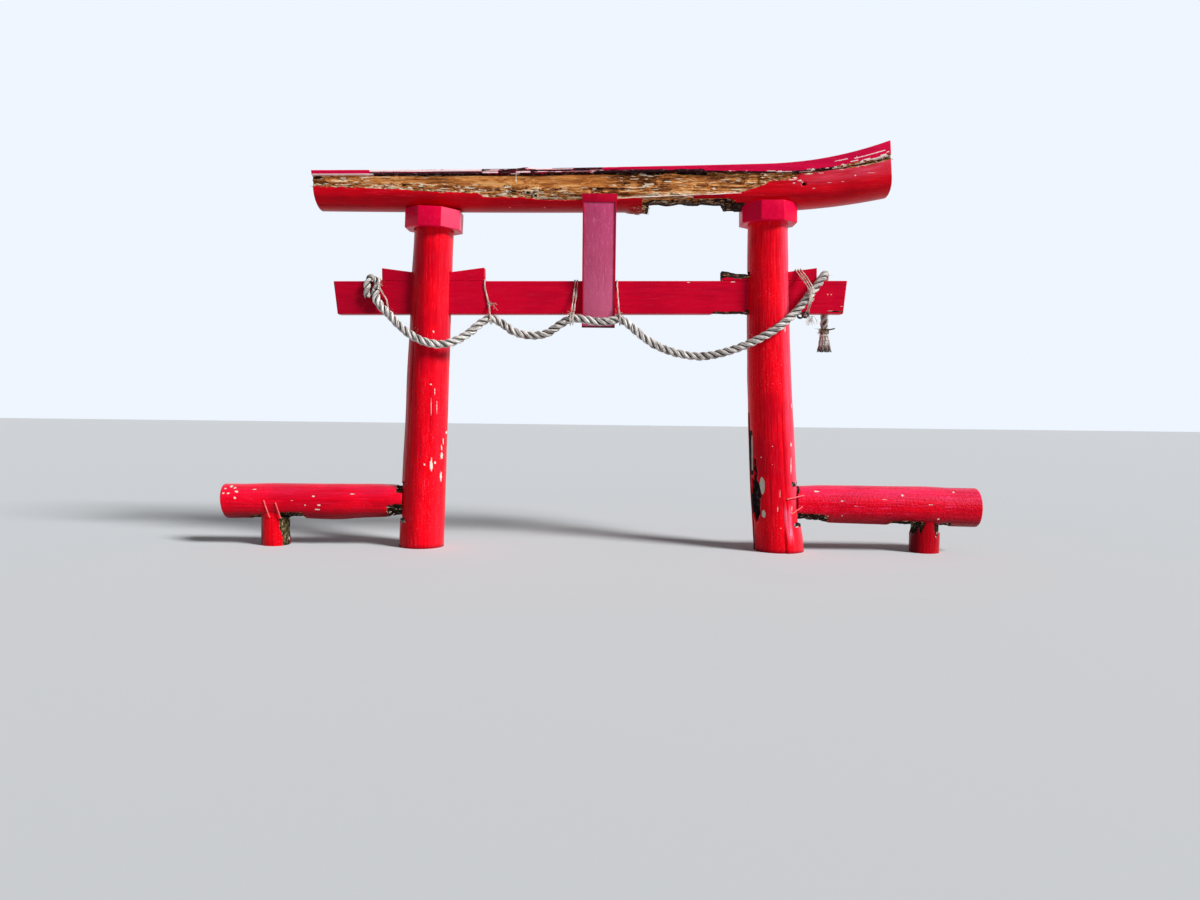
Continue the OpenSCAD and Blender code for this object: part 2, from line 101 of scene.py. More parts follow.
eye_points = [
    (-1.972, -0.104, 2.262), (-1.968, -0.102, 2.300), (-1.966, -0.102, 2.330),
    (-1.980, -0.102, 2.360), (-2.010, -0.102, 2.372), (-2.038, -0.102, 2.354),
    (-2.050, -0.102, 2.316), (-2.052, -0.102, 2.260), (-2.050, -0.102, 2.195)]


def smooth_route(points, step):
    """Points a step apart on one smooth curve through the given ones, and how far
    along it each lies."""
    p = np.array(points)
    p = np.vstack([2 * p[0] - p[1], p, 2 * p[-1] - p[-2]])
    t = np.linspace(0, 1, 12, endpoint=False)[:, None]
    dense = [
        0.5 * (2 * b + (c - a) * t + (2 * a - 5 * b + 4 * c - d) * t**2
               + (3 * b - 3 * c + d - a) * t**3)
        for a, b, c, d in zip(p, p[1:], p[2:], p[3:])]
    dense = np.vstack(dense + [p[-2:-1]])
    pieces = np.linalg.norm(np.diff(dense, axis=0), axis=1)
    along = np.concatenate([[0], np.cumsum(pieces)])
    even = np.linspace(0, along[-1], max(3, round(along[-1] / step) + 1))
    route = np.column_stack([np.interp(even, along, dense[:, k]) for k in range(3)])
    return route, even


def axes_along(route):
    """Three axes at each point of a route: along it, and two across that turn from
    point to point as little as they can."""
    forward = np.gradient(route, axis=0)
    forward /= np.linalg.norm(forward, axis=1)[:, None]
    across = np.zeros_like(forward)
    last = np.cross(forward[0], (0.13, 0.91, 0.21))
    for i, f in enumerate(forward):
        last = last - f * (last @ f)
        last = last / np.linalg.norm(last)
        across[i] = last
    return forward, across, np.cross(forward, across)


def round_angles(sides):
    return 2 * math.pi * np.arange(sides) / sides


def laid_rings(route, along, strands, strand_r, offset, lay, sides, yarns=6, seed=0):
    """The rings of each strand of a laid cord, with its yarns as shallow lobes."""
    forward, u, v = axes_along(route)
    made = []
    for k in range(strands):
        turn = 2 * math.pi * (along / lay + k / strands)
        wobble = 1 + 0.05 * np.sin(along * 17 + seed + 2 * k)
        out = np.cos(turn)[:, None] * u + np.sin(turn)[:, None] * v
        middle = route + offset * wobble[:, None] * out
        ahead = np.gradient(middle, axis=0)
        ahead /= np.linalg.norm(ahead, axis=1)[:, None]
        side = np.cross(ahead, out)
        angle = round_angles(sides)[None, :]
        lobe = 1 + 0.07 * np.cos(yarns * angle - 2.2 * turn[:, None] - k)
        r = strand_r * lobe * (1 + 0.06 * np.sin(along * 29 + 5 * k + seed))[:, None]
        made.append(
            middle[:, None, :]
            + (r * np.cos(angle))[:, :, None] * out[:, None, :]
            + (r * np.sin(angle))[:, :, None] * side[:, None, :])
    return made


def skin(name, ring_sets, material, loop=False, smooth=True):
    """One mesh of closed tubes through sets of rings, with a UV map in metres: U round
    each tube, and V along it. Open tubes get flat ends."""
    points, faces, uvs = [], [], []
    start = 0
    for rings in ring_sets:
        n, m, _ = rings.shape
        points.append(rings.reshape(-1, 3))
        run = np.linalg.norm(np.diff(rings.mean(1), axis=0), axis=1)
        v = np.concatenate([[0], np.cumsum(run)])
        v = np.append(v, v[-1] + (run.mean() if n > 1 else 0))
        round_r = np.linalg.norm(rings[0] - rings[0].mean(0), axis=1).mean()
        u = 2 * math.pi * round_r * np.arange(m + 1) / m
        for i in range(n if loop else n - 1):
            j = (i + 1) % n
            for k in range(m):
                l = (k + 1) % m
                faces.append((start + i * m + k, start + i * m + l,
                              start + j * m + l, start + j * m + k))
                uvs += [u[k], v[i], u[k + 1], v[i], u[k + 1], v[i + 1], u[k], v[i + 1]]
        if not loop:
            for ring, order in ((0, range(m - 1, -1, -1)), (n - 1, range(m))):
                faces.append([start + ring * m + k for k in order])
                for k in order:
                    uvs += [u[k], v[ring]]
        start += n * m
    mesh = bpy.data.meshes.new(name)
    mesh.from_pydata(np.vstack(points).tolist(), [], faces)
    mesh.uv_layers.new(name="along")
    mesh.uv_layers["along"].data.foreach_set("uv", np.array(uvs, np.float32))
    mesh.polygons.foreach_set("use_smooth", [smooth] * len(mesh.polygons))
    mesh.materials.append(material)
    return in_scene(name, mesh)


def made_plain(piece):
    """Turns what a piece's modifiers make of it into its own plain mesh."""
    evaluated = piece.evaluated_get(bpy.context.evaluated_depsgraph_get())
    made = bpy.data.meshes.new_from_object(evaluated)
    piece.modifiers.clear()
    old, piece.data = piece.data, made
    bpy.data.meshes.remove(old)


class Sheet:
    """A material's nodes, with short calls that add a node and join it up."""

    def __init__(self, tree):
        self.tree = tree

    def node(self, kind, settings=None, **sockets):
        made = self.tree.nodes.new(kind)
        for key, value in (settings or {}).items():
            setattr(made, key, value)
        return self.fill(made, **sockets)

    def fill(self, node, **sockets):
        """Sets a node's inputs, or joins other nodes' outputs to them."""
        for key, value in sockets.items():
            self.put(node.inputs[key.replace("_", " ")], value)
        return node

    def put(self, socket, value):
        if isinstance(value, bpy.types.NodeSocket):
            self.tree.links.new(value, socket)
        else:
            socket.default_value = (*value, 1) if socket.type == "RGBA" else value

    def math(self, operation, a, b, clamp=False):
        made = self.node("ShaderNodeMath", {"operation": operation, "use_clamp": clamp})
        self.put(made.inputs[0], a)
        self.put(made.inputs[1], b)
        return made.outputs[0]

    def plus(self, a, b, clamp=False):
        return self.math("ADD", a, b, clamp)

    def minus(self, a, b):
        return self.math("SUBTRACT", a, b)

    def times(self, a, b, clamp=False):
        return self.math("MULTIPLY", a, b, clamp)

    def most(self, a, b):
        return self.math("MAXIMUM", a, b)

    def mix(self, share, a, b, blend="MIX"):
        made = self.node("ShaderNodeMix", {"data_type": "RGBA", "blend_type": blend},
                         Factor=share)
        sockets = {s.identifier: s for s in (*made.inputs, *made.outputs)}
        self.put(sockets["A_Color"], a)
        self.put(sockets["B_Color"], b)
        return sockets["Result_Color"]

    def step(self, value, low, high):
        """0 below low, 1 above high, and smooth between them."""
        return self.node("ShaderNodeMapRange", {"interpolation_type": "SMOOTHSTEP"},
                         Value=value, From_Min=low, From_Max=high).outputs["Result"]

    def noise(self, vector, scale, detail=3.0, rough=0.55):
        return self.node("ShaderNodeTexNoise", Vector=vector, Scale=scale, Detail=detail,
                         Roughness=rough).outputs["Fac"]

    def stretched(self, vector, scale):
        """The vector scaled along its three axes, so that a pattern runs one way."""
        return self.node("ShaderNodeMapping", Vector=vector, Scale=scale).outputs["Vector"]

    def blend(self, value, stops):
        """Colours laid out along a value, from (place, colour) pairs."""
        made = self.node("ShaderNodeValToRGB", Fac=value)
        points = made.color_ramp.elements
        while len(points) < len(stops):
            points.new(0.5)
        for point, (at, colour) in zip(points, stops):
            point.position = at
            point.color = (*colour, 1)
        return made.outputs["Color"]

    def place(self):
        return self.node("ShaderNodeTexCoord").outputs["Object"]

    def along(self):
        return self.node("ShaderNodeTexCoord").outputs["UV"]

    def attribute(self, name):
        return self.node("ShaderNodeAttribute", {"attribute_name": name}).outputs["Fac"]

    def bump(self, height, depth):
        return self.node("ShaderNodeBump", Distance=depth, Height=height).outputs["Normal"]


def new_material(name):
    """An empty material's sheet and its surface shader."""
    material = bpy.data.materials.new(name)
    material.use_nodes = True
    sheet = Sheet(material.node_tree)
    return material, sheet, material.node_tree.nodes["Principled BSDF"]


def new_group(name, takes, gives, tree="ShaderNodeTree"):
    """An empty node group with named inputs, each with its kind and value, and named
    outputs, its sheet, and the sockets inside it."""
    group = bpy.data.node_groups.new(name, tree)
    for key, (kind, *values) in takes.items():
        socket = group.interface.new_socket(key, in_out="INPUT", socket_type=f"NodeSocket{kind}")
        for value in values:
            socket.default_value = (*value, 1) if kind == "Color" else value
    for key, kind in gives.items():
        group.interface.new_socket(key, in_out="OUTPUT", socket_type=f"NodeSocket{kind}")
    inside = group.nodes.new("NodeGroupInput").outputs
    outside = group.nodes.new("NodeGroupOutput").inputs
    return group, Sheet(group), inside, outside


def use_group(sheet, group, **sockets):
    return sheet.node("ShaderNodeGroup", {"node_tree": group}, **sockets).outputs


# Fibres: fine streaks that run with a cord's yarns, pale on the raised ones and with
# dirt between them
fibre_group, g, takes, gives = new_group(
    "fibres",
    {"Vector": ("Vector", (0, 0, 0)), "Fine": ("Float", 60.0),
     "Pale": ("Color", ROPE_COLOUR), "Dark": ("Color", ROPE_DARK)},
    {"Colour": "Color", "Height": "Float"})
fine = g.noise(takes["Vector"], takes["Fine"], 4.0, 0.65)
dirt = g.plus(g.times(g.noise(takes["Vector"], 0.9), 0.55), 0.2)
share = g.plus(g.step(fine, 0.33, 0.62), g.minus(0.48, dirt), clamp=True)
g.put(gives["Colour"], g.mix(share, takes["Dark"], takes["Pale"]))
g.put(gives["Height"], fine)


def cord_material(name, pale, dark, fine):
    """Weathered fibre, streaked along the yarns."""
    material, sheet, shader = new_material(name)
    vector = sheet.stretched(sheet.along(), (60, 9, 1))
    fibres = use_group(sheet, fibre_group, Vector=vector, Fine=fine, Pale=pale, Dark=dark)
    worn = sheet.noise(sheet.place(), 7.0, 4.0)
    shade = sheet.step(worn, 0.36, 0.62)
    tone = sheet.mix(shade, (0.66, 0.63, 0.62), (1, 1, 1))
    # The grooves between strands are darkened, for dirt and as painted shade
    grime_and_shade = sheet.times(sheet.attribute("groove"), 0.92)
    tone = sheet.mix(grime_and_shade, tone, (0.085, 0.070, 0.062))
    sheet.fill(shader, Base_Color=sheet.mix(1.0, fibres["Colour"], tone, "MULTIPLY"),
               Normal=sheet.bump(fibres["Height"], 0.002), Roughness=0.9,
               Specular_IOR_Level=0.15)
    return material


def ramp(value, low, high):
    """0 below low, 1 above high, and smooth between them."""
    t = np.clip((value - low) / (high - low), 0, 1)
    return t * t * (3 - 2 * t)


def set_marks(piece, **marks):
    """Keeps, for each vertex, how far each mark of age has gone there, from 0 to 1."""
    for name, values in marks.items():
        layer = piece.data.attributes.new(name, "FLOAT", "POINT")
        layer.data.foreach_set("value", np.clip(values, 0, 1).astype(np.float32).ravel())


def darken_grooves(piece, strands, route, reach, low, high):
    """Dirt and painted shade in the grooves between a cord's strands: full within the
    share low of its radius, none beyond the share high."""
    from_middle = np.linalg.norm(np.array(strands) - route[None, :, None, :], axis=3)
    set_marks(piece, groove=1 - ramp(from_middle / reach, low, high))


rope_hemp = cord_material("rope_hemp", ROPE_COLOUR, ROPE_DARK, 1.6)
rope_route, rope_along = smooth_route(rope_points, ROPE_STEP)
strand_r = ROPE_D / 2 / (1 + 2 / math.sqrt(3)) * 0.97
strand_offset = ROPE_D / 2 - strand_r
rope_strands = laid_rings(rope_route, rope_along, 3, strand_r, strand_offset, ROPE_LAY, 16)
rope = skin("hanging_rope", rope_strands, rope_hemp)
darken_grooves(rope, rope_strands, rope_route, ROPE_D / 2, 0.64, 0.90)

# Eye: the rope's left end, opened and bent back on itself with one strand left out. A
# tie holds its right leg on the beam.
EYE_STRAND_R, EYE_OFFSET, EYE_LAY = 0.0165, 0.0145, 0.15
eye_route, eye_along = smooth_route(eye_points, 0.008)
eye_strands = laid_rings(eye_route, eye_along, 2, EYE_STRAND_R, EYE_OFFSET, EYE_LAY, 14, seed=2)
eye = skin("rope_loop", eye_strands, rope_hemp)
darken_grooves(eye, eye_strands, eye_route, EYE_STRAND_R + EYE_OFFSET, 0.45, 0.78)

# Binding: turns of hemp string, drawn tight round the rope's right end, that keep its
# strands from opening above the tassel.
BINDING_TURNS, BINDING_H = 6, 0.044
BINDING_STRING_R, BINDING_STRING_OFFSET = 0.0026, 0.0022
BINDING_R = ROPE_D / 2 + 0.003
string_hemp = cord_material("string_hemp", (0.62, 0.50, 0.38), (0.20, 0.13, 0.08), 1.2)
rope_end = Vector(rope_points[-2])
turn = np.linspace(0, BINDING_TURNS * 2 * math.pi, BINDING_TURNS * 24)
coil = np.column_stack([
    rope_end.x + BINDING_R * np.cos(turn), rope_end.y + BINDING_R * np.sin(turn),
    rope_end.z - 0.006 - (BINDING_H - 0.010) * turn / turn[-1]])
binding = skin("end_binding", laid_rings(
    coil, turn * BINDING_R, 2, BINDING_STRING_R, BINDING_STRING_OFFSET, 0.03, 8), string_hemp)


# Stray fibres: short hairs of hemp that have worked loose all over the rope, strewn on it
# by Geometry Nodes. The ties get theirs from the same group further down.
def grown(name, surface, group, **settings):
    """A plain piece with what a Geometry Nodes group grows on a surface."""
    piece = in_scene(name, surface.data.copy())
    modifier = piece.modifiers.new("grow", "NODES")
    modifier.node_group = group
    for item in group.interface.items_tree:
        if item.in_out == "INPUT" and item.name in settings:
            modifier[item.identifier] = settings[item.name]
    made_plain(piece)
    return piece


def aside(piece):
    """Takes a pattern piece out of the scene once copies of it have been grown."""
    mesh = piece.data
    bpy.data.objects.remove(piece)
    bpy.data.meshes.remove(mesh)


def scatter_group(name, swing=None, with_grain=False):
    """Geometry Nodes that put copies of a part on a surface: one on each of its points,
    or, where swing is given, strewn over its faces and leaning at random up to swing
    about each axis. With the grain, they lie as the part lies and stand thickest where
    the attribute named in Where is high; else they stand up from the surface."""
    kinds = {"Geometry": "Geometry", "Part": "Object", "Smallest": "Float",
             "Largest": "Float", "Seed": "Int", "Material": "Material"}
    if swing:
        kinds.update({"Density": "Float", "Lean": "Float"})
    if with_grain:
        kinds["Where"] = "String"
    group, g, takes, gives = new_group(
        name, {key: (kind,) for key, kind in kinds.items()}, {"Geometry": "Geometry"},
        "GeometryNodeTree")
    points, turned = takes["Geometry"], (0, 0, 0)
    if swing:
        density = takes["Density"]
        if with_grain:
            share = g.node("GeometryNodeInputNamedAttribute", {"data_type": "FLOAT"},
                           Name=takes["Where"])
            density = g.times(share.outputs["Attribute"], density)
        spread = g.node("GeometryNodeDistributePointsOnFaces", Mesh=points,
                        Density=density, Seed=takes["Seed"])
        lean = g.node("FunctionNodeRandomValue", {"data_type": "FLOAT_VECTOR"},
                      Seed=takes["Seed"])
        for end, sign in (("Min", -1), ("Max", 1)):
            reach = g.node("ShaderNodeVectorMath", {"operation": "SCALE"}, Scale=takes["Lean"])
            reach.inputs[0].default_value = [sign * v for v in swing]
            g.put(lean.inputs[end], reach.outputs["Vector"])
        points, turned = spread.outputs["Points"], lean.outputs["Value"]
        if not with_grain:
            turned = g.node("FunctionNodeRotateRotation", {"rotation_space": "LOCAL"},
                            Rotation=spread.outputs["Rotation"],
                            Rotate_By=turned).outputs["Rotation"]
    size = g.node("FunctionNodeRandomValue", {"data_type": "FLOAT"}, Seed=takes["Seed"])
    g.put(size.inputs[2], takes["Smallest"])
    g.put(size.inputs[3], takes["Largest"])
    part = g.node("GeometryNodeObjectInfo", Object=takes["Part"])
    copies = g.node("GeometryNodeInstanceOnPoints", Points=points, Rotation=turned,
                    Instance=part.outputs["Geometry"], Scale=size.outputs[1])
    real = g.node("GeometryNodeRealizeInstances", Geometry=copies.outputs["Instances"])
    dressed = g.node("GeometryNodeSetMaterial", Geometry=real.outputs["Geometry"],
                     Material=takes["Material"])
    g.put(gives["Geometry"], dressed.outputs["Geometry"])
    return group


hair_group = scatter_group("stray_fibres", (1, 1, 1))
HAIR_LEN, HAIR_R, HAIR_BEND = 0.060, 0.0009, 0.012
t, a = np.linspace(0, 1, 6)[:, None], round_angles(3)
thick = HAIR_R * (1 - 0.75 * t)
hair = skin("one_hair", [np.stack([
    HAIR_BEND * t**2 + thick * np.cos(a), 0.004 * np.sin(t * 3) + thick * np.sin(a),
    HAIR_LEN * t + 0 * a], axis=2)], rope_hemp)
rope_hairs = grown("rope_hairs", rope, hair_group, Part=hair, Density=190.0, Lean=1.2,
                   Smallest=0.25, Largest=1.0, Seed=4, Material=rope_hemp)
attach(rope_hairs, "root")

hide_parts("rope")
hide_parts("rope_eye")
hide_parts("rope_binding")
for piece in (rope, eye, binding):
    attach(piece, "root")


# Tassel: the rope's strands, opened into their yarns and combed out below the binding,
# and dirty at the tips.
TASSEL_LEN, TASSEL_R, TASSEL_NECK_R = 0.172, 0.069, 0.034
TASSEL_YARNS = 124
GOLDEN_ANGLE = 2.39996
tassel_hemp = cord_material("tassel_hemp", (1.0, 0.95, 0.90), (0.34, 0.25, 0.21), 1.1)
yarns = []
rng = np.random.default_rng(5)
top_z = rope_end.z - BINDING_H
for k in range(TASSEL_YARNS):
    angle = k * GOLDEN_ANGLE
    ring = math.sqrt((k + 0.5) / TASSEL_YARNS)
    far_r = TASSEL_R * ring * rng.uniform(0.8, 1.0)
    near_r = TASSEL_NECK_R * ring
    drop = TASSEL_LEN * rng.uniform(0.88, 1.0)
    t = np.linspace(0, 1, 9)
    spread = near_r + (far_r - near_r) * t**1.4 + 0.003 * np.sin(t * 9 + k)
    bend = angle + 0.35 * t * rng.uniform(-1, 1)
    path = np.column_stack([rope_end.x + spread * np.cos(bend),
                            rope_end.y + spread * np.sin(bend), top_z + 0.004 - drop * t])
    yarns += laid_rings(path, drop * t, 1, 0.0050 - 0.0012 * ring, 0.0006, 0.05, 6)
tassel = skin("rope_tail", yarns, tassel_hemp)
dirty = np.broadcast_to(ramp(np.arange(9) / 8, 0.72, 1.0)[None, :, None], (TASSEL_YARNS, 9, 6))
set_marks(tassel, groove=0.75 * dirty)
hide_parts("rope_tassel")
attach(tassel, "root")


# Pillars: two peeled logs, hewn lengthwise with an adze, that lean in to the beam. The
# right one is thicker, bows, and is hollow at its foot. They are cut through for the
# beam and its wedges, and have a flat housing for the side rail.
PILLAR_RINGS = 240
PILLAR_ROUND = 176
ADZE_WIDE = 0.031
ADZE_LONG = 0.46
ADZE_DEEP = 0.0024
BEAM_TILT = math.radians(0.7)
BEAM_Z = 2.080
BEAM_H = 0.288
BEAM_T = 0.120
WEDGE_H = 0.080
FIT = 0.0003
HOUSING_DEEP = 0.030
HOUSING_CLEAR = 0.006
PILLAR_TOP_R = 0.172
CRACK_WIDE, CRACK_DEEP = 0.035, 0.010
pillar_facts = {
    "left": {"side": -1, "foot": -1.590, "lean_in": 0.109, "bow": 0.0, "foot_r": 0.198},
    "right": {"side": 1, "foot": 1.603, "lean_in": 0.149, "bow": 0.032, "foot_r": 0.215}}
rail_facts = {
    "left": {"side": -1, "r": 0.155, "taper": 0.013, "z": 0.384, "post": -2.890},
    "right": {"side": 1, "r": 0.174, "taper": 0.018, "z": 0.402, "post": 2.914}}
RAIL_RISE = 0.022
RAIL_REACH = 3.350
PAINT = (0.90, 0.0010, 0.008)
PAINT_DEEP = (0.42, 0.0006, 0.012)
PAINT_FADED = (0.95, 0.15, 0.27)


def corner_value(i, j, k, seed):
    """Repeatable random numbers from -1 to 1, one for each whole-numbered place."""
    n = i * 374761393 + j * 668265263 + k * 1442695041 + seed * 974634777
    n = (n ^ (n >> 13)) * 1274126177
    n = n ^ (n >> 16)
    return (n & 0xFFFFFF) / 0x7FFFFF - 1


def patchy(x, y, z, size, seed, octaves=1):
    """Smooth noise from -1 to 1; size is how wide a patch is along each axis."""
    x, y, z = np.broadcast_arrays(x / size[0], y / size[1], z / size[2])
    total, weight, weights = np.zeros(x.shape), 1.0, 0.0
    for octave in range(octaves):
        scale = 2.0**octave
        q = [c * scale + 17.3 * octave + 0.37 for c in (x, y, z)]
        base = [np.floor(c).astype(np.int64) for c in q]
        part = [c - b for c, b in zip(q, base)]
        part = [f * f * (3 - 2 * f) for f in part]
        for a, b, c in product((0, 1), repeat=3):
            share = ((part[0] if a else 1 - part[0]) * (part[1] if b else 1 - part[1])
                     * (part[2] if c else 1 - part[2]))
            total += weight * share * corner_value(
                base[0] + a, base[1] + b, base[2] + c, seed + 7 * octave)
        weights += weight
        weight *= 0.5
    return total / weights


def streaky(x, h, long, high, seed, octaves=1):
    """The same noise on one face; long and high are a patch's size along x and h."""
    return patchy(x, 0, h, (long, 1, high), seed, octaves)


def bell(value, at, wide):
    """1 where a value is at a place, fading to 0 on both sides of it."""
    return np.exp(-((value - at) / wide) ** 2)


def most(*marks):
    """The strongest of several marks at each place."""
    strongest = marks[0]
    for mark in marks[1:]:
        strongest = np.maximum(strongest, mark)
    return strongest


def adze_marks(angle, along, around, seed):
    """How deep the adze has cut: rows of long shallow hollows that run with the log."""
    column_at = angle / (2 * math.pi) * around + 0.22 * patchy(along, seed, 0, (0.5, 1, 1), 0)
    column = np.floor(column_at).astype(np.int64)
    across = column_at - column
    start = corner_value(column % around, 0 * column, 0 * column, seed)
    length = ADZE_LONG * (1 + 0.3 * start)
    row_at = along / length + start
    row = np.floor(row_at).astype(np.int64)
    ahead = row_at - row
    deep = 0.6 + 0.4 * corner_value(column % around, row, 0 * row, seed)
    ends = np.clip(np.minimum(ahead, 1 - ahead) * 9, 0, 1)
    return ADZE_DEEP * deep * ends * (1 - (2 * across - 1) ** 2)


def drying_crack(angle, along, at, low, high, wide, deep, seed):
    """How deep a crack runs that opens along the log as it dries."""
    path = at + 0.05 * patchy(along, seed, 0, (0.3, 1, 1), 0, 2)
    away = np.abs((angle - path + math.pi) % (2 * math.pi) - math.pi)
    run = ramp(along, low, low + 0.15) * (1 - ramp(along, high - 0.15, high))
    return deep * run * np.clip(1 - away / wide, 0, 1)


def places(piece):
    """The x, y and z of all vertices of a piece."""
    points = np.zeros(len(piece.data.vertices) * 3, np.float32)
    piece.data.vertices.foreach_get("co", points)
    return points.reshape(-1, 3).astype(float).T


# Coat: gloss paint brushed on along the grain in several coats of slightly other reds,
# pitted by the weather, with fine dirt in the brush marks, chalky specks that also serve
# as painted glints, and pale lines along the grain that are painted highlights
coat_group, g, takes, gives = new_group(
    "brushed_coat",
    {"Place": ("Vector", (0, 0, 0)), "Grain": ("Vector", (0, 0, 0)),
     "Paint": ("Color", PAINT), "Deep": ("Color", PAINT_DEEP),
     "Faded": ("Color", PAINT_FADED), "Pitted": ("Float", 0.5), "Streaks": ("Float", 0.0)},
    {"Colour": "Color", "Rough": "Float", "Height": "Float"})
cloudy = g.noise(takes["Place"], 1.7, 3.0)
brushed = g.noise(takes["Grain"], 30.0, 3.0, 0.6)
hairs = g.noise(takes["Grain"], 120.0, 4.0, 0.75)
pits = g.noise(takes["Place"], 58.0, 3.0, 0.6)
tone = g.plus(g.times(cloudy, 0.6), g.times(brushed, 0.4))
deeper = g.times(g.step(tone, 0.56, 0.40), 0.55)
colour = g.mix(deeper, takes["Paint"], takes["Deep"])
in_marks = g.times(g.step(hairs, 0.43, 0.30), 0.5)
colour = g.mix(in_marks, colour, takes["Deep"])
in_pits = g.times(g.step(pits, 0.42, 0.34), takes["Pitted"])
colour = g.mix(g.times(in_pits, 0.45, clamp=True), colour, takes["Deep"])
# Painted highlights: pale lines along the grain, as strong as Streaks says
highlight_lines = g.times(g.step(hairs, 0.56, 0.66), takes["Streaks"])
colour = g.mix(highlight_lines, colour, takes["Faded"])
# Chalky specks, paler and rougher, that also stand in for painted glints
specks = g.noise(takes["Place"], 84.0, 4.0, 0.7)
chalk_and_glints = g.times(g.step(specks, 0.62, 0.67), g.step(cloudy, 0.42, 0.58))
chalk_and_glints = g.times(chalk_and_glints, takes["Pitted"])
colour = g.mix(g.times(chalk_and_glints, 0.8), colour, takes["Faded"])
g.put(gives["Colour"], colour)
rough = g.plus(g.times(brushed, 0.30), 0.18)
g.put(gives["Rough"], g.plus(rough, g.times(chalk_and_glints, 0.3)))
height = g.plus(g.times(brushed, 0.8), g.times(hairs, 0.5))
pits = g.times(g.times(pits, takes["Pitted"]), 1.5)
g.put(gives["Height"], g.plus(height, pits))

# Wood: bare weathered timber. Its fibres run with the grain and wander a little, from
# near black in the gaps through orange brown to cream on the raised ones.
WOOD_TONES = [
    (0.00, (0.012, 0.006, 0.004)), (0.17, (0.100, 0.032, 0.010)),
    (0.36, (0.400, 0.130, 0.030)), (0.56, (0.680, 0.260, 0.066)),
    (0.77, (0.840, 0.470, 0.190)), (1.00, (1.000, 0.880, 0.680))]
wood_group, g, takes, gives = new_group(
    "weathered_grain",
    {"Place": ("Vector", (0, 0, 0)), "Grain": ("Vector", (0, 0, 0)), "Smooth": ("Float", 0.0)},
    {"Colour": "Color", "Height": "Float"})
wander = g.noise(takes["Place"], 2.4, 2.0)
flow = g.node("ShaderNodeVectorMath")
g.put(flow.inputs[0], takes["Grain"])
g.put(flow.inputs[1], g.times(wander, 0.16))
broad = g.noise(flow.outputs["Vector"], 14.0, 4.0, 0.6)
narrow = g.noise(flow.outputs["Vector"], 44.0, 6.0, 0.78)
mottled = g.noise(takes["Place"], 4.2, 4.0, 0.62)
tone = g.plus(g.times(narrow, 0.62), g.times(broad, 0.24))
tone = g.plus(tone, g.times(mottled, 0.14))
tone = g.step(tone, 0.40, 0.63)
even = g.plus(g.times(broad, 0.5), 0.31)
kept = g.minus(1.0, takes["Smooth"])
tone = g.plus(g.times(tone, kept), g.times(even, takes["Smooth"]))
g.put(gives["Colour"], g.blend(tone, WOOD_TONES))
g.put(gives["Height"], g.times(narrow, g.plus(kept, 0.3)))

# Torn edge: makes the soft border of a mark ragged, as it is where paint has flaked off
# or rot has eaten into sound wood
torn_group, g, takes, gives = new_group(
    "torn_edge",
    {"Mark": ("Float", 0.0), "Place": ("Vector", (0, 0, 0)), "Fine": ("Float", 60.0)},
    {"Mask": "Float"})
ragged = g.noise(takes["Place"], takes["Fine"], 3.0, 0.5)
raised = g.plus(takes["Mark"], g.times(g.minus(ragged, 0.5), 0.9))
g.put(gives["Mask"], g.step(raised, 0.46, 0.54))

# Colours of rot, from its deepest parts to its driest chips
ROT_TONES = ((0.008, 0.006, 0.005), (0.100, 0.056, 0.028), (0.460, 0.420, 0.340))
PRIMER = (0.80, 0.68, 0.60)
CREAM = (0.78, 0.66, 0.50)


def flakes_mask(sheet, vector, flakes):
    """Where paint has flaked off the front: each flake is x, z, half width and half
    height."""
    mask = None
    coarse = sheet.minus(sheet.noise(vector, 60.0, 2.0), 0.5)
    fine = sheet.minus(sheet.noise(vector, 130.0, 3.0), 0.5)
    shift = sheet.plus(sheet.times(coarse, 3.2), sheet.times(fine, 2.6))
    parts = sheet.node("ShaderNodeSeparateXYZ", Vector=vector).outputs
    front = sheet.math("LESS_THAN", parts["Y"], 0.0)
    for x, z, wide, high in flakes:
        away_x = sheet.math("DIVIDE", sheet.minus(parts["X"], x), wide)
        away_z = sheet.math("DIVIDE", sheet.minus(parts["Z"], z), high)
        away = sheet.plus(sheet.times(away_x, away_x), sheet.times(away_z, away_z))
        away = sheet.plus(away, shift)
        here = sheet.times(sheet.step(away, 1.08, 0.92), front)
        mask = here if mask is None else sheet.most(mask, here)
    return mask


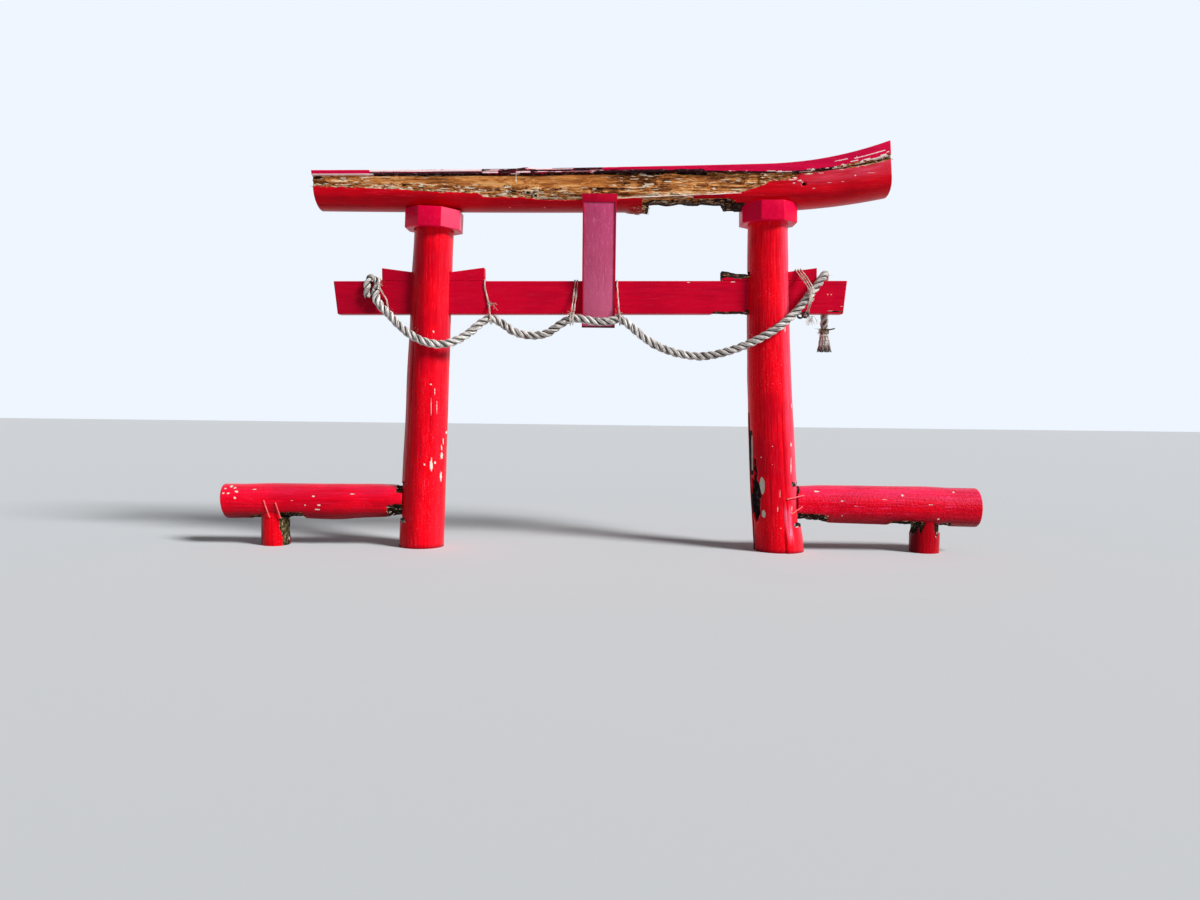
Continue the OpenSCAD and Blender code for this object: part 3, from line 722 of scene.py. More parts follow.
def painted_wood(name, grain, paint=PAINT, deep=PAINT_DEEP, faded=PAINT_FADED, wear=0.0,
                 flakes=(), bump=0.0026, primer_tone=PRIMER, pale_tone=CREAM,
                 rot_and_shade_tones=ROT_TONES, pitted=0.5, streaks=0.06,
                 damp_tone=(0.045, 0.0004, 0.003)):
    """Painted timber that shows wood, rot, fading and wet where its marks say so; the same
    marks also carry painted shade and painted sheen. grain is how much the pattern is
    shortened along each axis; wear flakes paint off at random."""
    material, sheet, shader = new_material(name)
    place = sheet.place()
    along = sheet.stretched(place, grain)
    less = {share: sheet.stretched(place, [1 - (1 - v) * share for v in grain])
            for share in (0.5, 0.6, 0.8)}
    coat = use_group(sheet, coat_group, Place=place, Grain=along, Paint=paint, Deep=deep,
                     Faded=faded, Pitted=pitted, Streaks=streaks)
    wood = use_group(sheet, wood_group, Place=place, Grain=along,
                     Smooth=sheet.attribute("smooth"))
    masks = {
        mark: use_group(sheet, torn_group, Mark=sheet.attribute(mark), Place=vector,
                        Fine=fine)["Mask"]
        for mark, fine, vector in (
            ("bare", 66.0, less[0.6]), ("rotten", 56.0, less[0.6]),
            ("primer", 85.0, place), ("pale", 90.0, less[0.8]))}
    # The first mark here lightens the paint, where it has faded and as painted sheen; the second
    # darkens it, where it is wet and as painted shade
    bleached = sheet.mix(sheet.attribute("bleached"), coat["Colour"], faded)
    painted = sheet.mix(sheet.attribute("damp"), bleached, damp_tone)
    primer = masks["primer"]
    if wear:
        lost = sheet.noise(less[0.6], 34.0, 5.0, 0.74)
        primer = sheet.most(primer, sheet.step(lost, 0.79 - wear, 0.80 - wear))
    if flakes:
        primer = sheet.most(primer, flakes_mask(sheet, place, flakes))
    # The rot colours also paint shade, in hollows and under edges, where the rot mark is set for
    # that
    crumbs = sheet.noise(less[0.5], 46.0, 5.0, 0.78)
    rot = sheet.mix(sheet.step(crumbs, 0.47, 0.57), rot_and_shade_tones[0], rot_and_shade_tones[1])
    rot = sheet.mix(sheet.step(crumbs, 0.60, 0.65), rot, rot_and_shade_tones[2])
    colour = sheet.mix(primer, painted, primer_tone)
    colour = sheet.mix(masks["bare"], colour, wood["Colour"])
    colour = sheet.mix(masks["rotten"], colour, rot)
    colour = sheet.mix(masks["pale"], colour, pale_tone)
    worn = sheet.most(masks["bare"], masks["rotten"])
    off = sheet.most(worn, sheet.most(primer, masks["pale"]))
    rough = sheet.plus(coat["Rough"], sheet.times(off, 0.6), clamp=True)
    height = sheet.times(coat["Height"], 0.4)
    grain_height = sheet.plus(wood["Height"], sheet.times(crumbs, 0.6))
    height = sheet.plus(height, sheet.times(sheet.times(worn, grain_height), 2.4))
    height = sheet.minus(height, sheet.times(off, 0.6))
    sheet.fill(shader, Base_Color=colour, Roughness=rough, Normal=sheet.bump(height, bump),
               Specular_IOR_Level=0.20, Specular_Tint=(1.0, 0.20, 0.30))
    return material


def pillar_x(facts, z):
    """Where a pillar's axis is at a height."""
    share = z / facts["top"]
    return facts["foot"] - facts["side"] * share * (
        facts["lean_in"] + facts["bow"] * 4 * (1 - share))


def pillar_r(facts, z):
    return facts["foot_r"] + (PILLAR_TOP_R - facts["foot_r"]) * z / facts["top"]


def box_mesh(low, high, turn=0.0, about=(0, 0, 0)):
    """A box as a mesh, turned about Y at a point."""
    mesh = bpy.data.meshes.new("cutter")
    bm = bmesh.new()
    bmesh.ops.create_cube(bm, size=1.0)
    size = Vector(high) - Vector(low)
    middle = (Vector(high) + Vector(low)) / 2
    around = Matrix.Translation(about) @ Matrix.Rotation(turn, 4, "Y")
    bmesh.ops.transform(bm, matrix=around @ Matrix.Translation(middle)
                        @ Matrix.Diagonal((*size, 1)), verts=bm.verts)
    bm.to_mesh(mesh)
    bm.free()
    return mesh


def cut_away(piece, cutter_meshes):
    """Cuts the shapes out of a piece, and leaves it a plain mesh."""
    for mesh in cutter_meshes:
        cutter = in_scene("cutter", mesh)
        cut = piece.modifiers.new("cut", "BOOLEAN")
        cut.operation = "DIFFERENCE"
        cut.solver = "EXACT"
        cut.object = cutter
        made_plain(piece)
        bpy.data.objects.remove(cutter)
        bpy.data.meshes.remove(mesh)


def stretch(s, low, high, fade):
    """1 from low to high along a piece, fading out past both."""
    return ramp(s, low - fade, low) * (1 - ramp(s, high, high + fade))


# The hollow that rot has opened at the right pillar's foot, and the strip beside it
SLIT_AT, SLIT_HALF, SLIT_DEEP = math.radians(206), 0.36, 0.050
SLIT_LOW, SLIT_TOP, NECK_TOP = 0.265, 0.655, 0.830
STRIP_AT, STRIP_HALF, STRIP_DEEP = math.radians(193), 0.20, 0.010
STRIP_LOW, STRIP_TOP = 0.70, 1.04
# Where the edge of the slab lies that has split off at the same pillar's foot
CREASE_AT = 4.88


def slit_mark(angle, z):
    """1 in the middle of the hollow, 0 outside it. It narrows to a neck above."""
    wobble = 0.05 * streaky(z, 0, 0.09, 1, 5, 2)
    across = (angle - SLIT_AT - wobble) / SLIT_HALF
    middle, half = (SLIT_LOW + SLIT_TOP) / 2, (SLIT_TOP - SLIT_LOW) / 2
    away = np.sqrt(across**2 + ((z - middle) / half) ** 2)
    away = away + 0.22 * patchy(angle * 0.2, 0, z, (0.02, 1, 0.06), 7, 2)
    neck = np.abs(angle - SLIT_AT - 0.08 - wobble) / 0.085
    above = stretch(z, SLIT_TOP - 0.1, NECK_TOP - 0.03, 0.03) * (1 - ramp(neck, 0.6, 1.2))
    return most(1 - ramp(away, 0.72, 1.02), above)


def strip_mark(angle, z):
    """1 along the strip at the pillar's left where the surface has split off."""
    wobble = 0.05 * streaky(z, 0, 0.2, 1, 9, 3)
    across = np.abs(angle - STRIP_AT - wobble) / STRIP_HALF
    strip = (1 - ramp(across, 0.75, 1.05)) * stretch(z, STRIP_LOW, STRIP_TOP, 0.05)
    edge = np.abs(angle - math.radians(181.5) - wobble) / 0.15
    line = (1 - ramp(edge, 0.5, 1.1)) * stretch(z, 0.03, 1.20, 0.05)
    return most(strip, line)


pillar_flakes = {
    "left": [(-1.355, 1.085, 0.004, 0.042), (-1.366, 1.020, 0.005, 0.012),
             (-1.384, 0.945, 0.003, 0.032), (-1.395, 0.888, 0.004, 0.024),
             (-1.396, 0.816, 0.010, 0.028), (-1.402, 0.635, 0.007, 0.042),
             (-1.364, 0.607, 0.006, 0.058), (-1.447, 1.379, 0.003, 0.028),
             (-1.430, 1.250, 0.002, 0.060), (-1.475, 1.250, 0.002, 0.070),
             (-1.474, 0.730, 0.012, 0.040), (-1.472, 0.780, 0.005, 0.026),
             (-1.530, 0.742, 0.007, 0.010), (-1.444, 0.755, 0.007, 0.012),
             (-1.478, 1.441, 0.008, 0.006), (-1.458, 1.900, 0.006, 0.010)],
    "right": [(1.674, 0.949, 0.006, 0.022), (1.675, 0.770, 0.004, 0.060),
              (1.681, 1.292, 0.004, 0.022), (1.574, 0.527, 0.002, 0.030),
              (1.556, 0.389, 0.003, 0.024), (1.587, 0.225, 0.003, 0.010),
              (1.501, 0.936, 0.004, 0.005), (1.504, 0.778, 0.004, 0.004),
              (1.411, 0.838, 0.004, 0.006), (1.685, 0.388, 0.003, 0.030),
              (1.676, 0.178, 0.002, 0.040), (1.600, 1.960, 0.004, 0.030)]}
for name, facts in pillar_facts.items():
    rail_at = rail_facts[name]
    side = facts["side"]
    # The head's height, from the collar that covers it
    facts["top"] = float(np.mean([c.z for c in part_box(f"{name}_collar")])) + 0.084
    q = np.linspace(0, 1, PILLAR_RINGS)[:, None]
    angle = round_angles(PILLAR_ROUND)[None, :]
    z = q * (facts["top"] - 0.02) + 0 * angle
    seed = 3 if side < 0 else 11
    around = round(2 * math.pi * facts["foot_r"] / ADZE_WIDE)
    r = pillar_r(facts, z) - adze_marks(angle, z, around, seed)
    lumps = patchy(np.cos(angle), np.sin(angle), z, (0.8, 0.8, 0.42), seed, 2)
    r = r + 0.0055 * lumps * ramp(z, 0, 0.05)
    for at, low, high in ((-1.25, 0.05, 1.3), (-2.2, 1.2, 2.3), (-0.75, 0.9, 2.1),
                          (1.9, 0.2, 1.7), (0.6, 1.0, 2.7)):
        r = r - drying_crack(angle, z, at, low, high, CRACK_WIDE, CRACK_DEEP, seed)
    middle = pillar_x(facts, z)
    if side > 0:
        # A slab that has split off along the foot, to the right of the front
        apart = ramp(angle, CREASE_AT - 0.01, CREASE_AT + 0.03) * (1 - ramp(angle, 6.2, 6.28))
        r = r + apart * (0.006 * (1 - ramp(z, 0.44, 0.52)) + 0.010 * (1 - ramp(z, 0.12, 0.26)))
        crease = bell(angle, CREASE_AT, 0.022) * (1 - ramp(z, 0.44, 0.54))
        r = r - 0.008 * crease
        r = r - slit_mark(angle, z) * SLIT_DEEP - strip_mark(angle, z) * STRIP_DEEP
    x, y = middle + r * np.cos(angle), r * np.sin(angle)
    rings = np.stack([x, y, z], axis=2)
    pillar = skin(f"{name}_log", [rings],
                  painted_wood(f"{name}_pillar_paint", (1, 1, 0.045), wear=0.012,
                               flakes=pillar_flakes[name], bump=0.0034,
                               pale_tone=(0.62, 0.58, 0.50), pitted=0.8, streaks=0.14,
                               rot_and_shade_tones=((0.006, 0.006, 0.007), (0.030, 0.026, 0.024),
                                          (0.320, 0.300, 0.270))))
    at_rail = pillar_x(facts, rail_at["z"] + RAIL_RISE) + side * (
        pillar_r(facts, rail_at["z"]) - HOUSING_DEEP)
    # The floor of the housing, where the rail ends
    rail_at["housing"] = at_rail
    reach = rail_at["r"] + HOUSING_CLEAR
    middle_z = rail_at["z"] + RAIL_RISE
    low_x, high_x = sorted((at_rail, at_rail + side))
    cut_away(pillar, [
        box_mesh((-3, -BEAM_T / 2 - FIT, -FIT), (3, BEAM_T / 2 + FIT, BEAM_H + WEDGE_H + FIT),
                 -BEAM_TILT, (0, 0, BEAM_Z)),
        box_mesh((low_x, -1, middle_z - reach), (high_x, 1, middle_z + reach))])
    x, y, z = places(pillar)
    outer = side * (x - pillar_x(facts, z))
    near_edge = np.abs(np.abs(z - middle_z) - reach)
    at_housing = (1 - ramp(near_edge, 0.008, 0.040)) * ramp(outer, 0.09, 0.15)
    at_housing = at_housing * (0.75 + 0.7 * patchy(x, y, z, (0.025, 0.025, 0.03), 4, 2))
    angle = np.arctan2(y, x - pillar_x(facts, z)) % (2 * math.pi)
    # Painted sheen on the side towards the lamp: strong on the right pillar, faint on the left, in
    # streaks
    sunny = ramp(np.cos(angle - math.radians(335)), 0.72, 1.0)
    sun_streaks = streaky(angle * 0.2, z, 0.012, 0.25, seed + 3, 3)
    bleached = (0.05 if side < 0 else 0.36) * sunny * (1 + 1.2 * sun_streaks)
    damp = 0.6 * (1 - ramp(z, 0.0, 0.05))
    inside = (np.abs(outer - (at_rail - pillar_x(facts, z)) * side) < 0.002) & (
        np.abs(z - middle_z) < reach + 0.002)
    rotten = most(at_housing, 0.9 * inside)
    pale = 0.8 * (at_housing > 0.5) * (patchy(x, y, z, (0.015, 0.015, 0.03), 14, 2) > 0.22)
    if side < 0:
        # Painted shade down its shaded left side
        damp = most(damp, 0.36 * stretch(angle, 3.2, 4.3, 0.5))
    else:
        # The slab at its foot has faded in streaks, and is dark along its edge
        foot = 1 - ramp(z, 0.34, 0.46)
        slab = ramp(angle, 4.90, 4.95) * (1 - ramp(angle, 5.16, 5.30)) * foot
        slab = slab * ramp(z, 0.05, 0.20)
        bleached = most(
            bleached * (1 - 0.7 * foot * ramp(angle, 5.2, 5.3)),
            slab * (0.55 + 1.7 * streaky(angle * 0.2, z, 0.006, 0.20, 28, 3)))
        crease = bell(angle, CREASE_AT, 0.015) * (1 - ramp(z, 0.44, 0.54))
        slit, strip = slit_mark(angle, z), strip_mark(angle, z)
        rotten = most(rotten, ramp(slit, 0.05, 0.3), 1.1 * strip, 0.62 * crease)
        # Pale sound wood beside the slit, in the strip and in the slit's neck
        patch_at = np.radians(231) + 0.02 * streaky(z, 0, 0.06, 1, 8, 1)
        across = ((angle - patch_at) / 0.135) ** 2
        upper = 1 - ramp(across + ((z - 0.590) / 0.080) ** 2, 0.7, 1.0)
        lower = 1 - ramp(across * 1.8 + ((z - 0.340) / 0.038) ** 2, 0.7, 1.0)
        in_strip = np.abs(angle - math.radians(194.5)) < 0.07
        in_neck = np.abs(angle - SLIT_AT - 0.09) < 0.035
        pale = most(
            pale, most(upper, lower) * (slit < 0.5),
            in_strip * ramp(strip, 0.6, 0.9) * stretch(
                z, STRIP_LOW + 0.03, STRIP_TOP - 0.03, 0.03),
            0.9 * in_neck * stretch(z, SLIT_TOP + 0.01, NECK_TOP - 0.05, 0.02))
    set_marks(pillar, rotten=rotten, pale=pale, bleached=bleached, damp=damp)
    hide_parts(f"{name}_pillar")
    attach(pillar, "root")


# Collars: eight-sided blocks of thick plank that sit on the pillar heads, with their
# edges taken off. They carry the top log and keep rain out of the end grain.
COLLAR_EDGE = 0.007
CRIMSON = (0.60, 0.001, 0.022)
CRIMSON_DEEP = (0.42, 0.0006, 0.018)
collar_paint = painted_wood("collar_paint", (0.5, 0.5, 0.35), (0.80, 0.0015, 0.045),
                            (0.58, 0.001, 0.034), wear=0.03, bump=0.0015, pitted=0.3)


def eased_copy(node, name, material, width, segments=3):
    """A copy of a CAD piece as a clean mesh with its hard edges taken off."""
    mesh = nodes[node].data.copy()
    mesh.name = name
    mesh.transform(nodes[node].matrix_world)
    bm = bmesh.new()
    bm.from_mesh(mesh)
    bmesh.ops.remove_doubles(bm, verts=bm.verts, dist=1e-5)
    bmesh.ops.dissolve_limit(bm, angle_limit=math.radians(0.5), verts=bm.verts, edges=bm.edges)
    bm.to_mesh(mesh)
    bm.free()
    mesh.materials.clear()
    mesh.materials.append(material)
    piece = in_scene(name, mesh)
    edge = piece.modifiers.new("edge", "BEVEL")
    edge.width = width
    edge.segments = segments
    edge.limit_method = "ANGLE"
    edge.angle_limit = math.radians(28)
    made_plain(piece)
    piece.data.polygons.foreach_set("use_smooth", [True] * len(piece.data.polygons))
    piece.data.set_sharp_from_angle(angle=math.radians(40))
    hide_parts(node)
    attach(piece, "root")
    return piece


for name in ("left", "right"):
    collar = eased_copy(f"{name}_collar", f"{name}_neck_block", collar_paint, COLLAR_EDGE)
    # The left one has painted sheen on the face towards the lamp
    facing = np.array([v.normal.x * 0.87 - v.normal.y * 0.5 for v in collar.data.vertices])
    set_marks(collar, bleached=(0.40 if name == "left" else 0.0) * ramp(facing, 0.70, 0.95))


# Top log: a whole log, bent up at its right end, round below and flat above. Its front
# has rotted out under the cap down to bare fibres, and a length of its underside has
# broken away. What is sound still carries its paint.
LOG_LEFT, LOG_RIGHT = 2.480, 2.490
LOG_UNDER_Z = 2.978
LOG_RISE = 0.014
LOG_BEND = 0.018
END_LIFT, LIFT_START = 0.100, 1.400
LOG_DEPTH = 0.390
LOG_H, LOG_GROWTH, END_GROWTH = 0.300, 0.015, 0.066
LOG_ROUND = 0.130
LEFT_CUT, RIGHT_CUT, CUT_FADE = math.radians(5.5), math.radians(4), 0.700
ROT_DEPTH, ROT_END, ROT_FADE = 0.030, 1.700, 0.120
ROT_RIPPLE_PITCH = 0.830
# Height of the sound lip under the rot, along the log
rot_line = [
    (-2.48, 0.172), (-2.16, 0.168), (-1.90, 0.157), (-1.75, 0.153), (-1.40, 0.131),
    (-1.08, 0.129), (-1.03, 0.093), (-0.70, 0.091), (-0.50, 0.071), (-0.20, 0.072),
    (0.147, 0.080), (1.18, 0.124), (1.37, 0.182), (1.42, 0.213), (1.48, 0.224),
    (1.605, 0.230), (1.69, 0.268), (1.76, 0.30)]
BREAK_LEFT, BREAK_RIGHT, BREAK_H, BREAK_RISE = 0.410, 1.150, 0.050, 0.045
LOG_STATIONS = 590
CAP_T, CAP_CROWN, CAP_GROWTH, CAP_THICKENS, CAP_LIP = 0.052, 0.010, 0.085, 0.600, 0.005


def lift(s):
    return np.where(s < LIFT_START, 0, ((s - LIFT_START) / (LOG_RIGHT - LIFT_START)) ** 2)


def under_z(s):
    return LOG_UNDER_Z + LOG_RISE * s + LOG_BEND * (s / LOG_RIGHT) ** 2 + END_LIFT * lift(s)


def cap_h(s):
    share = (s - CAP_THICKENS) / (LOG_RIGHT - CAP_THICKENS)
    return CAP_T + CAP_GROWTH * np.maximum(0, share)


def log_h(s):
    return LOG_H + CAP_T + LOG_GROWTH * s + END_GROWTH * lift(s) - cap_h(s)


def cut_lean(s):
    left = LEFT_CUT * np.clip(1 - (s + LOG_LEFT) / CUT_FADE, 0, 1)
    right = RIGHT_CUT * np.clip(1 - (LOG_RIGHT - s) / CUT_FADE, 0, 1)
    return np.where(s < 0, left, right)


def half_depth(h):
    low = np.clip((LOG_ROUND - h) / LOG_ROUND, 0, 1)
    return LOG_DEPTH / 2 * np.sqrt(1 - low**2)


s = np.linspace(-LOG_LEFT, LOG_RIGHT, LOG_STATIONS)[:, None]
ripple = 1 + 0.2 * np.sin(s * 2 * math.pi / ROT_RIPPLE_PITCH)
deep = ROT_DEPTH * np.clip((ROT_END - s) / ROT_FADE, 0, 1) * ripple
top = log_h(s)
low = np.minimum(np.interp(s, *np.array(rot_line).T), top - 0.035)
low = low + 0.006 * streaky(s, 0, 0.06, 1, 21, 3) * (deep > 0)
# Back and top: sound wood, only hewn
back_k = np.array([0.03, 0.10, 0.2, 0.33, 0.5, 0.68, 0.85, 1.0])[None, :]
back_h = LOG_ROUND * back_k + 0 * s
back_up = LOG_ROUND + (top - LOG_ROUND) * np.linspace(0.2, 1, 5)[None, :]
back_h = np.hstack([back_h, back_up])
back_y = half_depth(back_h)
hewn = 0.003 * patchy(s, back_y * 6, back_h * 6, (0.4, 1, 1), 12, 2)
back_y = back_y + hewn * (back_h < LOG_H - 0.05)
top_y = LOG_DEPTH / 2 * np.array([0.5, 0.0, -0.5])[None, :] + 0 * s
top_h = top + 0 * top_y
# Front: the rot's face from the top down, then the sound lip
ROT_ROWS, LIP_ROWS = 56, 44
face_f = np.linspace(1, 0, ROT_ROWS)[None, :] + 0 * s
face_h = low + 0.006 + (top - low - 0.006) * face_f
long_fibre = streaky(s, face_h, 0.30, 0.009, 31, 3)
short_fibre = streaky(s, face_h, 0.05, 0.006, 32, 2)
ledge = np.abs(streaky(s, face_h, 0.42, 0.035, 33, 2))
crumbly = ramp(streaky(s, face_h, 0.05, 0.03, 34, 2), -0.30, 0.15)
crumbly = crumbly * ramp(face_f, 0.66, 0.40) * most(
    stretch(s, -0.84, -0.58, 0.08), 0.6 * stretch(s, -0.28, 0.02, 0.10))
smooth_part = stretch(s, -1.15, 0.0, 0.15) * ramp(face_f, 0.35, 0.55)
rough_part = 1 - 0.75 * smooth_part
rough_part = rough_part * (1 - 0.35 * ramp(s, -1.0, -1.3))
fibrous = rough_part * (0.0075 * long_fibre + 0.0028 * short_fibre - 0.010 * ledge)
fibrous = fibrous + crumbly * 0.010 * streaky(s, face_h, 0.018, 0.018, 35, 2)
grain = streaky(s, face_h, 0.050, 0.011, 48, 3)
grained = ramp(face_f, 0.66, 0.36) * (deep > 0.004) * (1 - 0.85 * ramp(s, -0.5, 0.1))
fibrous = fibrous - 0.006 * grained * ramp(grain, 0.10, 0.28)
pocket = stretch(s, -2.462, -2.42, 0.04) * bell(face_f, 0.80, 0.14)
under_cap = stretch(s, 0.39, 0.50, 0.03) + stretch(s, 0.66, 0.87, 0.05)
under_cap = under_cap * ramp(face_f, 0.84, 0.93)
seam = stretch(s, -1.95, 0.55, 0.1) * ramp(face_f, 0.90, 0.97)
# The decay is deepest at the foot of the face, and runs out under the cap
slant = (0.62 + 0.38 * (1 - face_f)) * (1 - 0.36 * ramp(s, -0.95, -1.35))
deep_in = deep * slant * (0.92 + 0.3 * ledge) - fibrous * (deep > 0) + 0.028 * pocket
deep_in = deep_in + 0.04 * under_cap + 0.014 * seam
# Splinters of sound wood that still stand out across the rot at the right
splinter_line = low + 0.002
splinter = bell(face_h, splinter_line, 0.008) * stretch(s, 0.14, 1.18, 0.02)
splinter_fork = splinter_line - 0.004 + 0.16 * (0.74 - s)
fork = bell(face_h, splinter_fork, 0.006) * stretch(s, 0.60, 0.72, 0.01)
deep_in = deep_in - 0.016 * most(splinter, fork)
steps = stretch(s, 1.36, 1.60, 0.02) * (streaky(s, face_h, 0.05, 0.02, 36, 2) > 0.0)
deep_in = deep_in - 0.010 * steps * (deep > 0.004)
# The seam of an old crack at the sound right end
crack_wide = 0.011 + 0.019 * ramp(s, 1.95, 2.42)
crack_h = top - 0.002 - crack_wide * (1 + 0.5 * streaky(s, 0, 0.07, 1, 41, 2))
at_crack = ramp(face_h, crack_h - 0.002, crack_h + 0.003) * ramp(s, 1.58, 1.66)
deep_in = deep_in + 0.018 * at_crack * (0.6 + 0.8 * np.abs(patchy(
    s, 0, face_h, (0.05, 1, 0.010), 42, 2)))
face_y = np.maximum(deep_in, -0.004) - half_depth(face_h)
lip_k = np.linspace(1, 0.02, LIP_ROWS)[None, :]
lip_h = low * lip_k
lip_y = -half_depth(lip_h)
round_marks = np.arctan2(lip_h - LOG_ROUND, -lip_y)
hewn = 0.0022 * np.abs(streaky(s, round_marks, 0.34, 0.22, 51, 1))
lip_y = lip_y + hewn + 0.0025 * streaky(s, lip_h, 0.10, 0.02, 52, 3)
edge_worn = ramp(lip_k, 0.90, 1.0) * (deep > 0.004)
lip_y = lip_y + 0.007 * edge_worn * (1 + streaky(s, 0, 0.03, 1, 53, 3))
# Over the broken length the lip has come off too, down to fibres, but for a strip of
# paint along its upper edge at the right
stripped = stretch(s, 0.345, 1.110, 0.012) * (1 - ramp(lip_k, 0.93, 1.0))
kept_paint = stretch(s, 0.79, 1.13, 0.02) * ramp(lip_h, 0.072, 0.078)
stripped = stripped * (1 - kept_paint)
torn_fibre = streaky(s, lip_h, 0.12, 0.008, 56, 3)
lip_y = lip_y + stripped * (0.014 + 0.010 * torn_fibre)
KNOT_X, KNOT_Z, KNOT_DEEP = 1.728, 3.197, 0.030
knot_hole = np.exp(-(((s - KNOT_X) / 0.017) ** 2
                     + ((lip_h + under_z(s) - KNOT_Z) / 0.013) ** 2) ** 2)
lip_y = lip_y + KNOT_DEEP * knot_hole

section_h = np.hstack([0 * s, back_h, top_h, face_h, lip_h])
section_y = np.hstack([0 * s, back_y, top_y, face_y, lip_y])
in_break = (s > BREAK_LEFT - 0.012) & (s < BREAK_RIGHT + 0.012)
torn = BREAK_H + BREAK_RISE * (section_y / LOG_DEPTH + 0.5)
torn = torn + 0.006 * np.sin(s * 2 * math.pi / 0.212) - 0.070 * ramp(s, 1.055, 1.075)
torn = torn + 0.010 * patchy(s, section_y, 0, (0.05, 0.05, 1), 61, 3)
torn = np.where(in_break, torn + 0.004 * patchy(s, section_y, 0, (0.012, 0.01, 1), 62, 2), -1)
lump_left = stretch(s, 0.24, 0.40, 0.03) * (
    0.3 + patchy(s, section_y, 0, (0.014, 0.04, 1), 63, 3))
hang = 0.034 * np.clip(lump_left, 0, 1) * (section_h < 0.03)
section_z = under_z(s) + np.maximum(section_h, torn) - np.where(in_break, 0, hang)
section_x = s - section_h * np.tan(cut_lean(s))
rings = np.stack([section_x, section_y, section_z], axis=2)
log_flakes = [
    (1.562, 3.253, 0.030, 0.006), (1.648, 3.250, 0.017, 0.008), (1.625, 3.232, 0.035, 0.005),
    (1.690, 3.225, 0.022, 0.007), (1.640, 3.205, 0.014, 0.004), (1.715, 3.212, 0.008, 0.007),
    (1.813, 3.161, 0.012, 0.003), (1.875, 3.291, 0.024, 0.003), (2.055, 3.325, 0.030, 0.003),
    (2.169, 3.348, 0.034, 0.003), (2.166, 3.274, 0.007, 0.006), (1.944, 3.212, 0.024, 0.002),
    (2.303, 3.298, 0.034, 0.002), (2.060, 3.222, 0.014, 0.002)]
log_paint = painted_wood("top_log_paint", (0.045, 1, 1), (0.62, 0.001, 0.008),
                         (0.36, 0.0006, 0.006), bump=0.004, pitted=0.2,
                         streaks=0.10,
                         primer_tone=(0.90, 0.58, 0.56), flakes=log_flakes,
                         rot_and_shade_tones=((0.007, 0.005, 0.004), (0.042, 0.024, 0.013),
                                    (0.380, 0.320, 0.240)))
top_log = skin("swept_log", [rings], log_paint)
first = 1 + back_h.shape[1] + top_h.shape[1]
lip = first + ROT_ROWS
on_face, on_lip = slice(first, lip), slice(lip, None)
bare, dark, pale, smooth, ragged = (np.zeros(section_h.shape) for _ in range(5))
# Bare wood: over all of the rot, on the lip's worn edge and where the underside is torn
broken_face = (torn > section_h) & (section_h < 0.09)
near_break = stretch(s, BREAK_LEFT - 0.005, BREAK_RIGHT, 0.006) * (
    1 - ramp(section_h, 0.050, 0.080)) * (0.75 + 0.5 * patchy(
        section_x, section_y, section_z, (0.06, 0.06, 0.02), 65, 2))
bare[:, on_face] = most(ramp(deep, 0.002, 0.010), at_crack)
bare[:, lip:lip + 8] = edge_worn[:, :8] * (0.55 + 0.6 * streaky(s, 0, 0.035, 1, 54, 3))
bare = most(bare, near_break, broken_face * 1.0)
bare[:, on_lip] = most(bare[:, on_lip], stripped, knot_hole)
# Dark wood, partly rot and partly painted shade: dark rot in the crack and in the
# crumbly and grained parts, and painted shade in the crevices and the pocket, under the
# cap and along its seam, in the knot hole, on the torn underside and along the torn edge
crevice = ramp(fibrous, -0.006, -0.012) * ramp(deep, 0.004, 0.012)
crevice = crevice * (1 - 0.75 * ramp(s, -1.0, -1.3))
crack_line = bell(face_h, top - 0.45 * crack_wide, 0.30 * crack_wide)
dark[:, on_face] = most(
    0.80 * crevice, 1.2 * pocket, 1.1 * under_cap, 1.1 * 0.75 * seam,
    at_crack * most(0.95 * crack_line, 0.40),
    0.75 * crumbly * (streaky(s, face_h, 0.03, 0.016, 43, 2) > -0.1),
    0.60 * grained * ramp(grain, 0.10, 0.26))
shadowed = 0.52 + 0.35 * streaky(s, lip_h, 0.10, 0.010, 57, 3) + 0.5 * ramp(s, 0.90, 1.05)
dark[:, on_lip] = most(stripped * shadowed * ramp(lip_k, 0.90, 0.60), 1.1 * knot_hole)
black_edge = most(
    in_break * (1 - ramp(section_h - torn, 0.006, 0.016)),
    stretch(s, 1.030, 1.225, 0.012) * (1 - ramp(section_h, 0.040, 0.050)) * (section_y < 0.05),
    stretch(s, 0.380, 0.425, 0.008) * (1 - ramp(section_h, 0.050, 0.070)))
dark = most(dark, 1.1 * black_edge, 0.50 * broken_face + 0.30 * near_break * (
    patchy(section_x, section_y, section_z, (0.05, 0.05, 0.012), 66, 2) > 0.1))
